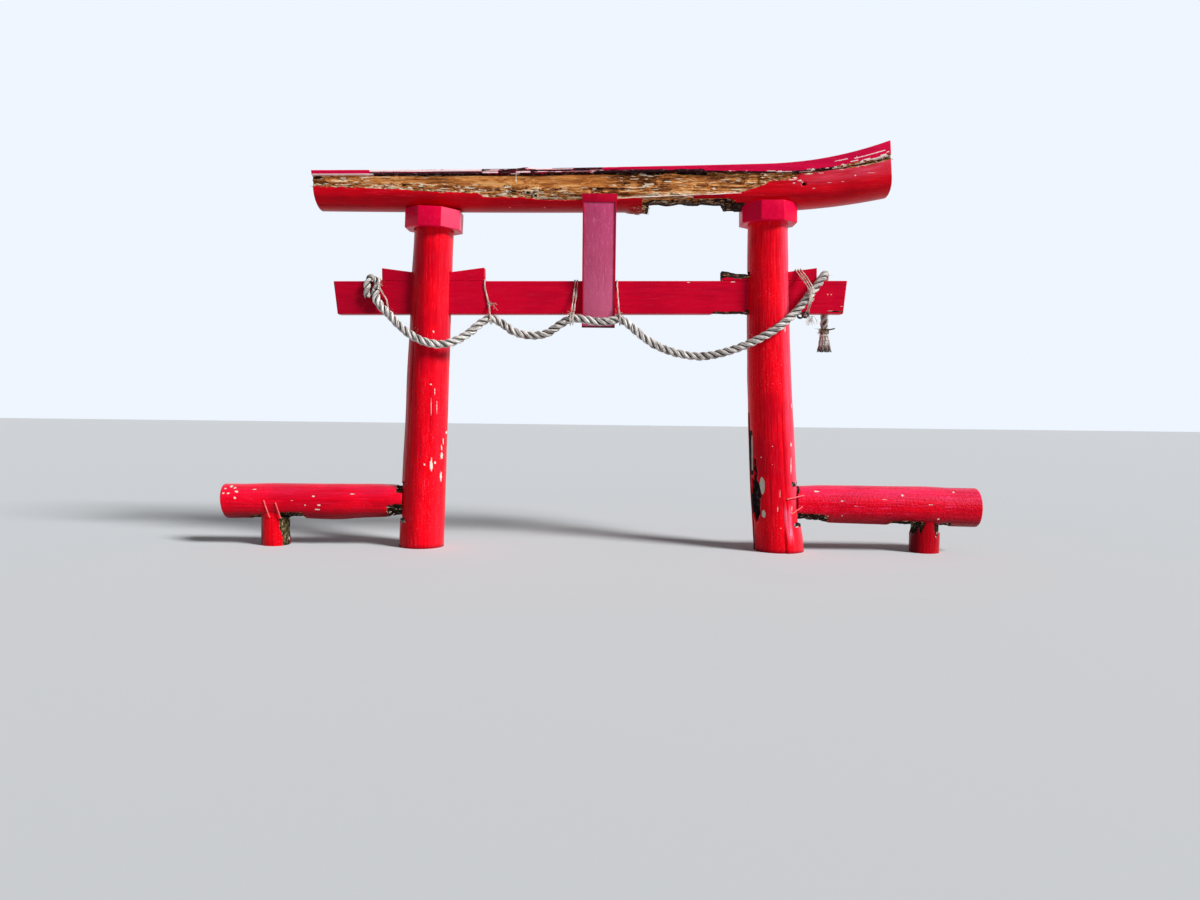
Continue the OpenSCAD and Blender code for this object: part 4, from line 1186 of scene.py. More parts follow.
# Pale wood: dry chips and fibres that stand out of the rot, and one pale drip
low_edge = ramp(face_f, 0.16, 0.03) * (deep > 0.008)
left_flecks = streaky(s, face_h, 0.05, 0.012, 37, 2) * stretch(s, -2.42, -2.05, 0.10)
right_flecks = streaky(s, face_h, 0.09, 0.010, 45, 2) * stretch(s, 0.16, 0.42, 0.05)
cream = streaky(s, face_h, 0.10, 0.010, 38, 3) + 0.12 * ramp(s, -1.0, -1.4)
chips = streaky(s, face_h, 0.04, 0.008, 39, 2) > 0.22
drip = bell(s, -0.750, 0.008) * ramp(face_h, 3.18 - under_z(s), 3.20 - under_z(s))
pale[:, on_face] = most(
    most(0.4 * splinter, fork) + 0.8 * steps * (deep > 0.004) * (
        streaky(s, face_h, 0.03, 0.010, 44, 2) > 0.12),
    0.75 * crumbly * (streaky(s, face_h, 0.022, 0.012, 40, 2) > 0.12),
    1.3 * left_flecks, 1.3 * right_flecks, ramp(cream, 0.22, 0.40) * rough_part * 0.8,
    0.75 * grained * ramp(-grain, 0.20, 0.32),
    0.85 * low_edge * (streaky(s, face_h, 0.040, 0.012, 46, 2) > 0.05),
    0.8 * at_crack * chips * (1 - crack_line), 0.85 * drip)
pale[:, lip:lip + 3] = 0.75 * edge_worn[:, :3] * (0.5 + streaky(s, 0, 0.05, 1, 55, 3))
pale[:, on_lip] = most(pale[:, on_lip], 0.8 * stripped * (
    streaky(s, lip_h, 0.08, 0.007, 58, 2) > 0.30))
smooth[:, on_face] = most(smooth_part * 0.6, 0.44 * stretch(s, -2.35, -1.2, 0.1),
                          0.16 * stretch(s, 0.3, 1.5, 0.1))
# How thickly loose splinters stand, for the piece made further down
ragged[:, on_face] = most(
    ramp(deep, 0.004, 0.012) * (0.25 + 0.75 * most(low_edge, crumbly)) * (
        1 - 0.8 * smooth_part), 0.8 * steps, 0.8 * at_crack)
ragged[:, lip:lip + 4] = edge_worn[:, :4]
ragged[:, on_lip] = most(ragged[:, on_lip], 0.7 * stripped)
ragged = most(ragged, (np.where(in_break, 0, hang) > 0.004) * 1.0)
# The sound right end has faded most just under the cap. The underside at the left and
# in the middle is painted darker as shade, and so is the strip of kept paint under the
# splinter
bleached = 0.24 * ramp(s, 1.5, 2.0) * ramp(section_h, 0.13, 0.24) * (section_y < 0) * (
    1 + 1.3 * streaky(s, section_h, 0.18, 0.012, 47, 3))
damp = 0.24 * (1 - ramp(section_h, 0.005, 0.060)) * (1 - ramp(s, 0.9, 1.4))
damp[:, on_lip] += 0.42 * kept_paint * (1 - ramp(s, 1.03, 1.07))
set_marks(top_log, bare=bare, rotten=dark, pale=pale, smooth=smooth, ragged=ragged,
          bleached=bleached, damp=damp)
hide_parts("top_log")
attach(top_log, "root")


# Splinters: slivers of wood that still cling to the log's rot and to its broken edges,
# strewn by Geometry Nodes, and a few long ones that have stayed sound.
splinter_group = scatter_group("clinging_splinters", (5, 1, 1.4), with_grain=True)
SLIVER_LONG, SLIVER_THICK = 0.060, 0.0030
a = round_angles(4) + 0.4
sliver_rings = [
    np.column_stack([SLIVER_LONG * (share - 0.5) + 0.004 * np.cos(a),
                     SLIVER_THICK * wide * np.cos(a) * 0.7,
                     SLIVER_THICK * wide * np.sin(a) + 0.002 * math.sin(share * 5)])
    for share, wide in ((0, 0.15), (0.15, 0.8), (0.4, 1.0), (0.7, 0.7), (1.0, 0.1))]
one_sliver = skin("one_sliver", [np.array(sliver_rings)], log_paint, smooth=False)


def raw_wood(name, long, fine, rough, tones, fibre_deep=0.0):
    """Clean unpainted wood, streaked along its length."""
    material, sheet, shader = new_material(name)
    streaks = sheet.noise(sheet.stretched(sheet.place(), (long, 1, 1)), fine)
    sheet.fill(shader, Base_Color=sheet.blend(streaks, tones), Roughness=rough,
               Specular_IOR_Level=0.1)
    if fibre_deep:
        fibres = sheet.noise(sheet.stretched(sheet.place(), (0.1, 1, 1)), 300.0, 2.0)
        sheet.fill(shader, Normal=sheet.bump(fibres, fibre_deep))
    return material


sliver_wood = raw_wood("sliver_wood", 0.12, 60.0, 0.9, [
    (0.36, (0.050, 0.022, 0.010)), (0.47, (0.330, 0.130, 0.045)),
    (0.55, (0.620, 0.340, 0.150)), (0.66, (0.860, 0.720, 0.540))], 0.0008)
sound_wood = raw_wood("sound_wood", 0.08, 90.0, 0.85, [
    (0.32, (0.420, 0.150, 0.080)), (0.44, (0.900, 0.620, 0.520)),
    (0.60, (1.000, 0.900, 0.840))])

# Long slivers of sound wood that still stand along the lip over the broken length
t = np.linspace(0, 1, 70)[:, None]
a = round_angles(5) + 0.3
slivers = []
for (x0, z0), (x1, z1), thick in (((0.150, 3.062), (0.772, 3.0935), 0.0040),
                                  ((0.660, 3.0905), (0.778, 3.0745), 0.0032),
                                  ((0.772, 3.0925), (1.235, 3.1185), 0.0038)):
    x, z = x0 + (x1 - x0) * t, z0 + (z1 - z0) * t
    z = z + 0.0025 * streaky(x, 0, 0.11, 1, 71, 2)
    r = thick * np.sin(math.pi * np.clip(t, 0.015, 0.985)) ** 0.3
    r = r * (1 + 0.35 * streaky(x, 0, 0.05, 1, 72, 2))
    slivers.append(np.stack([x + 0 * a, -0.1905 + 0.8 * r * np.cos(a), z + r * np.sin(a)], axis=2))
sound_slivers = skin("sound_slivers", slivers, sound_wood, smooth=False)
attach(sound_slivers, "root")
splinters = grown("log_splinters", top_log, splinter_group, Part=one_sliver, Density=2600.0,
                  Where="ragged", Lean=0.16, Smallest=0.25, Largest=1.0, Seed=7,
                  Material=sliver_wood)
aside(one_sliver)
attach(splinters, "root")


# Cap: the plank that covers the log, crowned to shed rain and thicker at the right
# end. Its front edge has lost its paint over the rot, and has split and lifted.
CAP_STATIONS = 560
s = np.linspace(-LOG_LEFT, LOG_RIGHT, CAP_STATIONS)[:, None]
half = LOG_DEPTH / 2 + CAP_LIP
low, top = log_h(s) + FIT, log_h(s) + FIT + cap_h(s)
edge_k = np.linspace(1, 0, 12)[None, :]
edge_round = 0.006 * np.sqrt(np.clip(1 - (1 - np.minimum(edge_k, 1 - edge_k) / 0.12), 0, 1))
edge_h = low + (top - CAP_CROWN - low) * edge_k
worn = stretch(s, -1.98, 0.10, 0.08)
frayed = streaky(s, edge_h, 0.09, 0.006, 71, 3)
edge_y = -half + 0.006 - edge_round + worn * (0.004 + 0.005 * frayed)
split = worn * bell(edge_k, 0.42 + 0.2 * streaky(s, 0, 0.3, 1, 72, 2), 0.07)
edge_y = edge_y + 0.010 * split
top_k = np.linspace(-1, 1, 15)[None, 1:-1]
top_y = half * top_k + 0 * s
top_edge = top - CAP_CROWN * np.abs(top_k) + 0.0015 * patchy(s, top_y, 0, (0.3, 0.03, 1), 73, 2)
back_k = np.linspace(1, 0, 5)[None, :]
back_h = low + (top - CAP_CROWN - low) * back_k
back_y = half + 0 * back_h
lifted = 0.010 * bell(s, -0.67, 0.06) * ramp(-edge_y, 0.15, 0.19)
ring_y = np.hstack([top_y[:, ::-1], edge_y, back_y[:, ::-1]])
ring_h = np.hstack([top_edge[:, ::-1], edge_h, back_h[:, ::-1]])
gnawed = worn * 0.005 * np.clip(streaky(s, 0, 0.04, 1, 74, 3), 0, 1)
ring_h[:, top_y.shape[1] + 11] += gnawed[:, 0]
ring_h[:, top_y.shape[1]:top_y.shape[1] + 4] += lifted[:, :1] * np.array([[1, 0.9, 0.6, 0.3]])
ring_x = s - ring_h * np.tan(cut_lean(s))
rings = np.stack([ring_x, ring_y, under_z(s) + ring_h], axis=2)
cap_paint = painted_wood("cap_paint", (0.045, 1, 1), (0.66, 0.003, 0.052),
                         (0.40, 0.002, 0.040), (0.85, 0.24, 0.34), wear=0.018,
                         primer_tone=(0.94, 0.70, 0.72), pitted=0.2,
                         pale_tone=(0.90, 0.72, 0.68),
                         rot_and_shade_tones=((0.016, 0.007, 0.011), (0.075, 0.030, 0.030),
                                    (0.360, 0.250, 0.240)))
cap = skin("log_cover", [rings], cap_paint)
sides = slice(top_y.shape[1], top_y.shape[1] + 12)
front = np.zeros(ring_h.shape)
front[:, sides] = 1
front[:, top_y.shape[1] - 3:top_y.shape[1]] = [[0.3, 0.6, 0.9]]
row = np.ones(ring_h.shape)
row[:, sides] = edge_k
grain_noise = streaky(s, row, 0.22, 0.16, 75, 3)
chalk_zone = stretch(s, -1.98, -1.06, 0.05)
dark_zone = stretch(s, -1.03, -0.02, 0.05)
strips = stretch(s, -1.035, -0.91, 0.01) + stretch(s, -0.745, -0.63, 0.01)
primer = front * most(
    chalk_zone * (0.68 + 0.4 * grain_noise) * (row > 0.52),
    stretch(s, -2.47, -1.98, 0.03) * (row < 0.25), dark_zone * (grain_noise > 0.22) * 0.8,
    0.9 * strips * (np.abs(row - 0.35) < 0.18))
# Its front is painted dark as shade below the chalky upper edge at the left, and over the length
# from there to the middle
dark = front * most(chalk_zone * (row < 0.44) * 0.9, dark_zone * (0.62 + 0.2 * grain_noise))
dark = dark * (1 - (primer > 0.5))
# Over the rot at the right the cap's lower edge is painted dark as shade, most over two
# lengths, standing for an edge that has gone
lower_edge = 0.13 + 0.22 * (stretch(s, -0.05, 0.50, 0.05) + stretch(s, 0.63, 0.86, 0.02))
lower_edge = lower_edge + 0.16 * streaky(s, 0, 0.05, 1, 76, 3)
gone = front * stretch(s, -0.02, 1.98, 0.08) * (row < lower_edge)
dark = most(dark, gone)
# At the right end it has split along the seam, down to the wood
split_low = 0.07 + 0.09 * ramp(s, 1.9, 2.3) + 0.06 * streaky(s, 0, 0.07, 1, 77, 3)
opened = front * ramp(s, 1.62, 1.75) * (row < split_low)
chipped = opened * (streaky(s, row, 0.05, 0.10, 78, 2) > 0.05)
above = front * ramp(s, 0.9, 1.2) * (row > split_low) * (row < split_low + 0.13)
chipped = most(chipped, above * (streaky(s, row, 0.07, 0.10, 79, 3) > 0.16))
streak_at = 0.50 + 0.10 * streaky(s, 0, 0.3, 1, 80, 1)
streaks = front * ramp(s, 1.90, 2.05) * (np.abs(row - streak_at) < 0.05)
primer = most(primer, 0.8 * streaks * (grain_noise > -0.1))
set_marks(cap, bare=opened, rotten=most(dark, 0.45 * opened), primer=primer, pale=0.8 * chipped)
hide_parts("top_cap")
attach(cap, "root")


# Tie beam: one squared timber through both pillars, planed and painted on all sides,
# with leaning end cuts. Wedges over it hold it in its mortises.
BEAM_LEFT, BEAM_RIGHT, BEAM_CUT = 2.354, 2.156, 0.032
TIMBER_EDGE = 0.006


def beam_under(x):
    return BEAM_Z + x * math.tan(BEAM_TILT)


def beam_top(x):
    return beam_under(x) + BEAM_H / math.cos(BEAM_TILT)


def timber(name, left, right, thick, stations, material, rough=0.0, seed=0):
    """A squared timber as a mesh, tilted as the beam is. left and right give the x and
    the lower and upper height of its ends as functions of a share; rough is how uneven
    it is."""
    t = np.linspace(0, 1, stations)[:, None]
    face = np.linspace(0, 1, 22)[None, 1:-1]
    half = thick / 2
    e = TIMBER_EDGE
    corner = np.array([0.0, 0.3, 0.7, 1.0])[None, :] * math.pi / 2
    low_x, high_x = left[0] + (right[0] - left[0]) * t, left[1] + (right[1] - left[1]) * t
    low, high = left[2](t), right[2](t)
    up = low + e + (high - low - 2 * e) * face
    ys = np.hstack([0 * up - half, -half + e - e * np.cos(corner) + 0 * t,
                    np.array([[-half * 0.5, 0, half * 0.5]]) + 0 * t,
                    half - e + e * np.sin(corner) + 0 * t, 0 * up + half,
                    half - e + e * np.cos(corner) + 0 * t,
                    np.array([[half * 0.5, 0, -half * 0.5]]) + 0 * t,
                    -half + e - e * np.sin(corner) + 0 * t])
    hs = np.hstack([up, high - e + e * np.sin(corner), high + np.zeros((1, 3)),
                    high - e + e * np.cos(corner), up[:, ::-1],
                    low + e - e * np.sin(corner), low + np.zeros((1, 3)),
                    low + e - e * np.cos(corner)])
    share = (hs - low) / (high - low)
    xs = low_x + (high_x - low_x) * share
    wave = patchy(xs, ys * 2, hs, (0.35, 1, 0.12), 81 + seed, 2)
    ys = ys + np.sign(ys) * (0.0008 + rough) * wave * (np.abs(ys) > half * 0.6)
    cos, sin = math.cos(BEAM_TILT), math.sin(BEAM_TILT)
    points = np.stack([xs * cos - hs * sin, ys, BEAM_Z + xs * sin + hs * cos], axis=2)
    return skin(name, [points[:, ::-1]], material), share[:, ::-1], xs[:, ::-1], ys[:, ::-1]


def under_bite(t):
    """How far decay has eaten into the beam's lower edge, along its length."""
    x = BEAM_CUT - BEAM_LEFT + (BEAM_LEFT + BEAM_RIGHT - 2 * BEAM_CUT) * t
    return 0.011 * stretch(x, 0.99, 1.26, 0.03) * np.clip(
        0.7 + streaky(x, 0, 0.035, 1, 85, 3), 0, 1)


beam_flakes = [(1.150, 2.372, 0.020, 0.004), (0.760, 2.364, 0.012, 0.003),
               (1.240, 2.110, 0.012, 0.003), (2.021, 2.129, 0.030, 0.002),
               (2.110, 2.170, 0.010, 0.002), (-1.030, 2.330, 0.004, 0.010)]
beam_paint = painted_wood("beam_paint", (0.045, 1, 1), CRIMSON, CRIMSON_DEEP,
                          bump=0.0016, pitted=0.15, flakes=beam_flakes)
beam, share, xs, ys = timber(
    "through_beam", (BEAM_CUT - BEAM_LEFT, -BEAM_LEFT, under_bite),
    (BEAM_RIGHT - BEAM_CUT, BEAM_RIGHT, lambda t: BEAM_H + 0 * t), BEAM_T, 420, beam_paint)
# Rot at the lower edge, and a crack that runs down across the right end's front
crack_at = 0.085 - 0.10 * (xs - 1.86)
lost = most(
    stretch(xs, 0.99, 1.26, 0.04) * (1 - ramp(share, 0.02, 0.08)) * (
        0.8 + 0.6 * patchy(xs, ys, share, (0.04, 0.1, 0.2), 83, 2)),
    0.8 * stretch(xs, 1.86, 2.13, 0.02) * stretch(
        share, crack_at, crack_at + 0.015, 0.012) * (ys < 0),
    stretch(xs, 1.26, 1.30, 0.01) * stretch(share, 0.0, 0.10, 0.04) * (
        0.6 + 0.7 * patchy(xs, ys, share, (0.02, 0.1, 0.1), 86, 2)))
top_edge = ramp(share, 0.985, 1.0) * (patchy(xs, ys, 0, (0.05, 0.1, 1), 84, 2) > 0.28)
# Its left end is painted darker, as shade
set_marks(beam, rotten=lost, primer=0.6 * top_edge, damp=0.24 * (1 - ramp(xs, -1.7, -1.4)))
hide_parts("tie_beam")
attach(beam, "root")


# Wedges: four tapered blocks driven in over the beam from both sides of each pillar.
# The right inner one has lost its paint and its upper half to rot.
WEDGE_SLOPE = math.radians(7.5)
WEDGE_IN = 0.110
MOUTH_GAP = 0.002
wedge_facts = {
    "left_outer_wedge": ("left", -1, 0.253, 0.0),
    "left_inner_wedge": ("left", 1, 0.286, 0.0),
    "right_inner_wedge": ("right", -1, 0.228, 0.018),
    "right_outer_wedge": ("right", 1, 0.240, 0.0)}
wedge_paint = painted_wood("wedge_paint", (0.09, 1, 1), CRIMSON, CRIMSON_DEEP,
                           bump=0.0020, pitted=0.2,
                           rot_and_shade_tones=((0.010, 0.009, 0.008), (0.085, 0.070, 0.055),
                                      (0.270, 0.245, 0.205)))


def mouth_s(facts, out):
    """Where a wedge comes out of its pillar, along the beam."""
    roof = beam_top(pillar_x(facts, BEAM_Z + BEAM_H)) + WEDGE_H
    x = pillar_x(facts, roof) + out * (pillar_r(facts, roof) + MOUTH_GAP)
    return x * math.cos(BEAM_TILT) + (roof - BEAM_Z) * math.sin(BEAM_TILT)


for name, (pillar_name, out, reach, lost) in wedge_facts.items():
    mouth = mouth_s(pillar_facts[pillar_name], out)
    left_x, right_x = sorted((mouth - out * WEDGE_IN, mouth + out * reach))

    def upper(t):
        x = left_x + (right_x - left_x) * t
        beyond = out * (x - mouth)
        high = BEAM_H + WEDGE_H - lost + beyond * math.tan(WEDGE_SLOPE)
        sag = lost / 2 * np.clip(1 - np.abs(beyond / (reach * 0.4) - 1), 0, 1)
        decay = streaky(x, 0, 0.035, 1, 91, 3)
        return high - sag - 0.30 * lost * (1 + decay) * (beyond > 0)

    wedge, share, xs, ys = timber(
        f"{name}_block", (left_x, left_x, lambda t: BEAM_H + FIT + 0 * t),
        (right_x, right_x, upper), BEAM_T, 90, wedge_paint, rough=0.2 * lost, seed=len(name))
    bare = 0.5 * ramp(share, 0.90, 1.0) * (patchy(xs, ys, share, (0.04, 0.1, 0.3), 92, 2) > 0.25)
    dark = np.zeros(share.shape)
    if lost:
        decayed = share > 0.30 + 0.20 * streaky(xs, 0, 0.04, 1, 93, 2)
        dark = np.where(decayed | (np.abs(ys) < BEAM_T * 0.46), 1.0, 0)
        bare = 0.62 * stretch(share, 0.50, 0.74, 0.08) * decayed
        dark = dark * np.where(bare * (1 + streaky(xs, share, 0.05, 0.1, 94, 2)) > 0.62, 0.42, 1)
    # Painted darker towards the beam's left end, as shade
    set_marks(wedge, bare=bare, rotten=dark, damp=0.20 * (1 - ramp(xs, -1.7, -1.4)))
    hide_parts(name)
    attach(wedge, "root")


# Name board: a thin plank that has faded to pink, framed by narrow raised strips, with
# a deep red head. It leans out from the beam to the top log.
board_faded = painted_wood("board_paint", (1, 1, 0.03), (0.52, 0.060, 0.165),
                           (0.33, 0.030, 0.095), (0.74, 0.25, 0.36),
                           bump=0.0012, pitted=0.5, streaks=0.5)
strip_paint = painted_wood("strip_paint", (1, 1, 0.05), (0.50, 0.002, 0.026),
                           (0.30, 0.001, 0.016), (0.74, 0.10, 0.20), wear=0.03,
                           bump=0.0010, pitted=0.3)
board = eased_copy("name_board", "board_plank", board_faded, 0.002, 2)
up = places(board)[2]
low_z, high_z = up.min(), up.max()
bm = bmesh.new()
bm.from_mesh(board.data)
for level in np.linspace(low_z, high_z, 15)[1:-1]:
    bmesh.ops.bisect_plane(bm, geom=bm.verts[:] + bm.edges[:] + bm.faces[:],
                           plane_co=(0, 0, level), plane_no=(0, 0, 1))
bm.to_mesh(board.data)
bm.free()
set_marks(board, bleached=0.30 * (1 - (places(board)[2] - low_z) / (high_z - low_z)))
for node in ("board_head", "board_left_edge", "board_right_edge", "board_foot"):
    strip = eased_copy(node, f"{node}_strip", strip_paint, 0.0018, 2)
    # The foot is painted dark, as shade behind the rope
    set_marks(strip, damp=(1.0 if node == "board_foot" else 0) + 0 * places(strip)[2])


# Side rails: low tapered logs that are let into the pillars, with rot where they lie
# on the posts and where they enter the housings.
RAIL_RINGS, RAIL_ROUND = 250, 160
RAIL_ROT = ((0.006, 0.006, 0.005), (0.044, 0.035, 0.018), (0.300, 0.280, 0.200))
rail_flakes = {
    "left": [(-3.258, 0.520, 0.013, 0.008), (-3.304, 0.503, 0.011, 0.006),
             (-3.265, 0.465, 0.014, 0.007), (-3.198, 0.479, 0.016, 0.008),
             (-3.220, 0.510, 0.011, 0.006), (-3.201, 0.427, 0.011, 0.010),
             (-3.310, 0.464, 0.009, 0.008), (-2.513, 0.448, 0.013, 0.006),
             (-2.462, 0.371, 0.015, 0.007), (-2.481, 0.332, 0.022, 0.006),
             (-2.584, 0.370, 0.007, 0.006), (-2.172, 0.471, 0.018, 0.004),
             (-3.046, 0.500, 0.015, 0.004), (-2.700, 0.410, 0.012, 0.002)],
    "right": [(1.912, 0.540, 0.024, 0.006), (2.132, 0.463, 0.015, 0.005),
              (2.013, 0.323, 0.007, 0.007), (2.135, 0.331, 0.007, 0.007),
              (2.663, 0.517, 0.010, 0.009), (3.126, 0.545, 0.010, 0.007),
              (2.983, 0.310, 0.010, 0.009), (2.900, 0.440, 0.020, 0.003),
              (2.500, 0.480, 0.022, 0.002), (2.250, 0.420, 0.018, 0.002)]}
# Where each rail has decayed: from and to along it, how softly it ends, on its upper
# (1) or lower (-1) half, from what share of the radius, and how deep
rail_decay = {
    "left": [(1.70, 1.785, 0.02, 1, 0.45, 0.016), (1.70, 1.83, 0.07, -1, 0.05, 0.022),
             (2.64, 2.80, 0.04, -1, 0.50, 0.026), (3.00, 3.09, 0.02, -1, 0.66, 0.012)],
    "right": [(1.70, 1.755, 0.02, 1, 0.50, 0.014), (1.70, 1.94, 0.12, -1, 0.42, 0.024),
              (2.62, 2.82, 0.07, -1, 0.62, 0.016), (3.02, 3.11, 0.02, -1, 0.66, 0.012)]}


def rail_line(facts, out):
    """The height of a rail's axis and its radius, at a distance from the gate's
    middle."""
    t = np.clip((RAIL_REACH - out) / facts["run"], -0.1, 1.1)
    return facts["z"] + RAIL_RISE * t, facts["r"] - facts["taper"] * t


for name, facts in rail_facts.items():
    side = facts["side"]
    inner = side * facts["housing"] + FIT
    facts["run"] = RAIL_REACH - inner + 0.012
    longer = 0.0 if side < 0 else 0.012
    t = np.linspace(1, 0, RAIL_RINGS)[:, None]
    out = RAIL_REACH + longer - (RAIL_REACH + longer - inner) * t
    angle = round_angles(RAIL_ROUND)[None, :]
    middle, r = rail_line(facts, out)
    seed = 15 if side < 0 else 25
    around = round(2 * math.pi * facts["r"] / ADZE_WIDE)
    clear = ramp(out, inner + 0.03, inner + 0.25) * (1 - ramp(out, 2.9, 3.2))
    r = r + (0.006 if side < 0 else 0.009) * clear
    if side < 0:
        r = r + 0.014 * bell(out, 2.36, 0.22) * ramp(-np.sin(angle), 0.2, 0.9)
    r = r - 0.8 * adze_marks(angle, out, around, seed) + 0.0030 * patchy(
        np.cos(angle), np.sin(angle), out, (0.8, 0.8, 0.3), seed, 2)
    for at, start, end in ((-2.0, 1.9, 3.2), (-0.9, 2.3, 3.3), (2.4, 2.0, 3.0)):
        r = r - drying_crack(angle, out, at, start, end, 0.03, 0.007, seed)
    end_edge = 0.010 if side < 0 else 0.006
    end_round = np.clip((out - (RAIL_REACH + longer - end_edge)) / end_edge, 0, 1)
    r = r - end_edge * (1 - np.sqrt(np.clip(1 - end_round**2, 0, 1))) * 0.9
    eaten = 0 * r
    skin_place = (out, np.cos(angle) * 0.15, np.sin(angle) * 0.15)
    ragged = patchy(*skin_place, (0.045, 0.03, 0.03), seed + 1, 3)
    for low, high, fade, half, share, deep in rail_decay[name]:
        here = stretch(out, low, high, fade) * ramp(half * np.sin(angle), share, share + 0.3)
        here = np.clip(here * (0.85 + 0.9 * ragged), 0, 1)
        r = r - deep * here
        eaten = most(eaten, here)
    # The left rail's end is cut at a slant, shorter below
    slant = 0.033 * (1 - np.sin(angle)) / 2 * ramp(out, RAIL_REACH - 0.4, RAIL_REACH)
    along = out - (slant if side < 0 else 0)
    rings = np.stack([side * along + 0 * angle, side * r * np.cos(angle),
                      middle + r * np.sin(angle)], axis=2)
    rail = skin(f"{name}_rail_log", [rings], painted_wood(
        f"{name}_rail_paint", (0.045, 1, 1), (0.86, 0.0010, 0.014),
        (0.46, 0.0006, 0.012), (0.95, 0.060, 0.230), wear=0.012,
        flakes=rail_flakes[name], bump=0.0038 if side < 0 else 0.0064,
        rot_and_shade_tones=RAIL_ROT, pitted=1.2 if side < 0 else 2.2,
        streaks=0.20 if side < 0 else 0.60))
    chips = patchy(*skin_place, (0.03, 0.012, 0.012), seed + 2, 2)
    rot = 1.2 * ramp(eaten, 0.22, 0.42)
    # Its underside is painted darker as shade, and its top has painted sheen in streaks
    damp = (0.74 if side < 0 else 0.66) * ramp(-np.sin(angle), 0.25, 0.85) + 0 * r
    sun_streaks = patchy(*skin_place, (0.30, 0.010, 0.010), seed + 3, 3)
    bleached = (0.10 if side < 0 else 0.26) * ramp(np.sin(angle), 0.1, 0.7) * (
        1 + 1.4 * sun_streaks)
    set_marks(rail, bare=0.55 * ramp(eaten, 0.12, 0.22), rotten=rot, damp=damp,
              pale=0.9 * (eaten > 0.3) * (chips > 0.46), bleached=bleached)
    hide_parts(f"{name}_rail")
    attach(rail, "root")


# Rail posts: short logs with a saddle cut for the rail, decayed at the waist, with
# painted shade down their left sides, and a darker paint on the right one as painted
# shade under its rail.
POST_R = 0.130
SHOULDER = 0.060
POST_RINGS, POST_ROUND = 80, 132
POST_ROT = ((0.012, 0.012, 0.007), (0.125, 0.100, 0.040), (0.480, 0.420, 0.210))


def post_decay(side, angle, z):
    """Where a post has lost its paint: down the left one's right side, and round the
    head of the right one."""
    ragged = patchy(np.cos(angle) * 0.13, np.sin(angle) * 0.13, z, (0.04, 0.04, 0.10), 45, 3)
    if side < 0:
        edge = 0.44 + 0.34 * (1 - z / 0.33)
        return ramp(np.cos(angle) + 0.22 * ragged, edge - 0.06, edge + 0.06)
    corner = ramp(np.abs(np.cos(angle)), 0.15, 0.60)
    return ramp(z + 0.12 * corner + 0.09 * ragged, 0.27, 0.31)


def cone_mesh(facts, extra):
    """A rail's whole cone, as a mesh to cut with."""
    ends = []
    for out in (RAIL_REACH + 0.2, RAIL_REACH - facts["run"] - 0.2):
        t = (RAIL_REACH - out) / facts["run"]
        centre, r = facts["z"] + RAIL_RISE * t, facts["r"] - facts["taper"] * t + extra
        a = round_angles(96)
        ends.append(np.column_stack([facts["side"] * out + 0 * a,
                                     facts["side"] * r * np.cos(a), centre + r * np.sin(a)]))
    cone = skin("cone", [np.array(ends)[::-1]], collar_paint)
    mesh = cone.data
    bpy.data.objects.remove(cone)
    return mesh


for name, facts in rail_facts.items():
    side = facts["side"]
    angle = round_angles(POST_ROUND)[None, :]
    z = (facts["z"] - SHOULDER) * np.linspace(0, 1, POST_RINGS)[:, None] + 0 * angle
    seed = 45 if side < 0 else 55
    r = POST_R - adze_marks(angle, z, 26, seed) + 0.003 * patchy(
        np.cos(angle), np.sin(angle), z, (0.7, 0.7, 0.2), seed, 2)
    r = r - drying_crack(angle, z, -1.2, 0.0, 0.35, 0.04, 0.010, seed)
    decay = post_decay(side, angle, z)
    r = r - 0.012 * decay
    rings = np.stack([facts["post"] + r * np.cos(angle), r * np.sin(angle), z], axis=2)
    # The right post's paint is darker, as painted shade under its rail
    paint = (0.86, 0.0008, 0.008) if side < 0 else (0.50, 0.0006, 0.006)
    post = skin(f"{name}_rail_post", [rings], painted_wood(
        f"{name}_post_paint", (1, 1, 0.06), paint, (0.30, 0.0005, 0.006), wear=0.012,
        rot_and_shade_tones=POST_ROT if side < 0 else RAIL_ROT, pitted=0.8))
    cut_away(post, [cone_mesh(facts, FIT)])
    x, y, z = places(post)
    angle = np.arctan2(y, x - facts["post"])
    decay = post_decay(side, angle, z)
    chips = patchy(x, y, z, (0.02, 0.02, 0.05), seed + 4, 2)
    # The last mark paints shade down each post's left side
    set_marks(post, bare=0.5 * ramp(decay, 0.15, 0.3), rotten=1.2 * decay,
              pale=0.7 * (decay > 0.3) * (chips > 0.38),
              damp=0.75 * stretch(angle % (2 * math.pi), 3.3, 3.85, 0.25))
    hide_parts(f"{name}_post")
    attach(post, "root")


# Tying cords: two or three thin strings laid side by side, put over the beam and round
# the rope and knotted in front, with frayed ends.
STRING_R, STRING_GAP, STRING_LAY = 0.0029, 0.0042, 0.31
TIE_R, BULGE = 0.0068, 0.006
KNOT_STRING_R, FRAYED_R = 0.0024, 0.0012
tie_hemp = cord_material("tie_hemp", (1.0, 0.96, 0.88), (0.46, 0.33, 0.26), 1.4)


def strings(seed, points, count=3, step=0.009):
    """A few strings that follow one route side by side and cross now and then."""
    route, along = smooth_route(points, step)
    return laid_rings(route, along, count, STRING_R, STRING_GAP, STRING_LAY, 6, 3, seed)


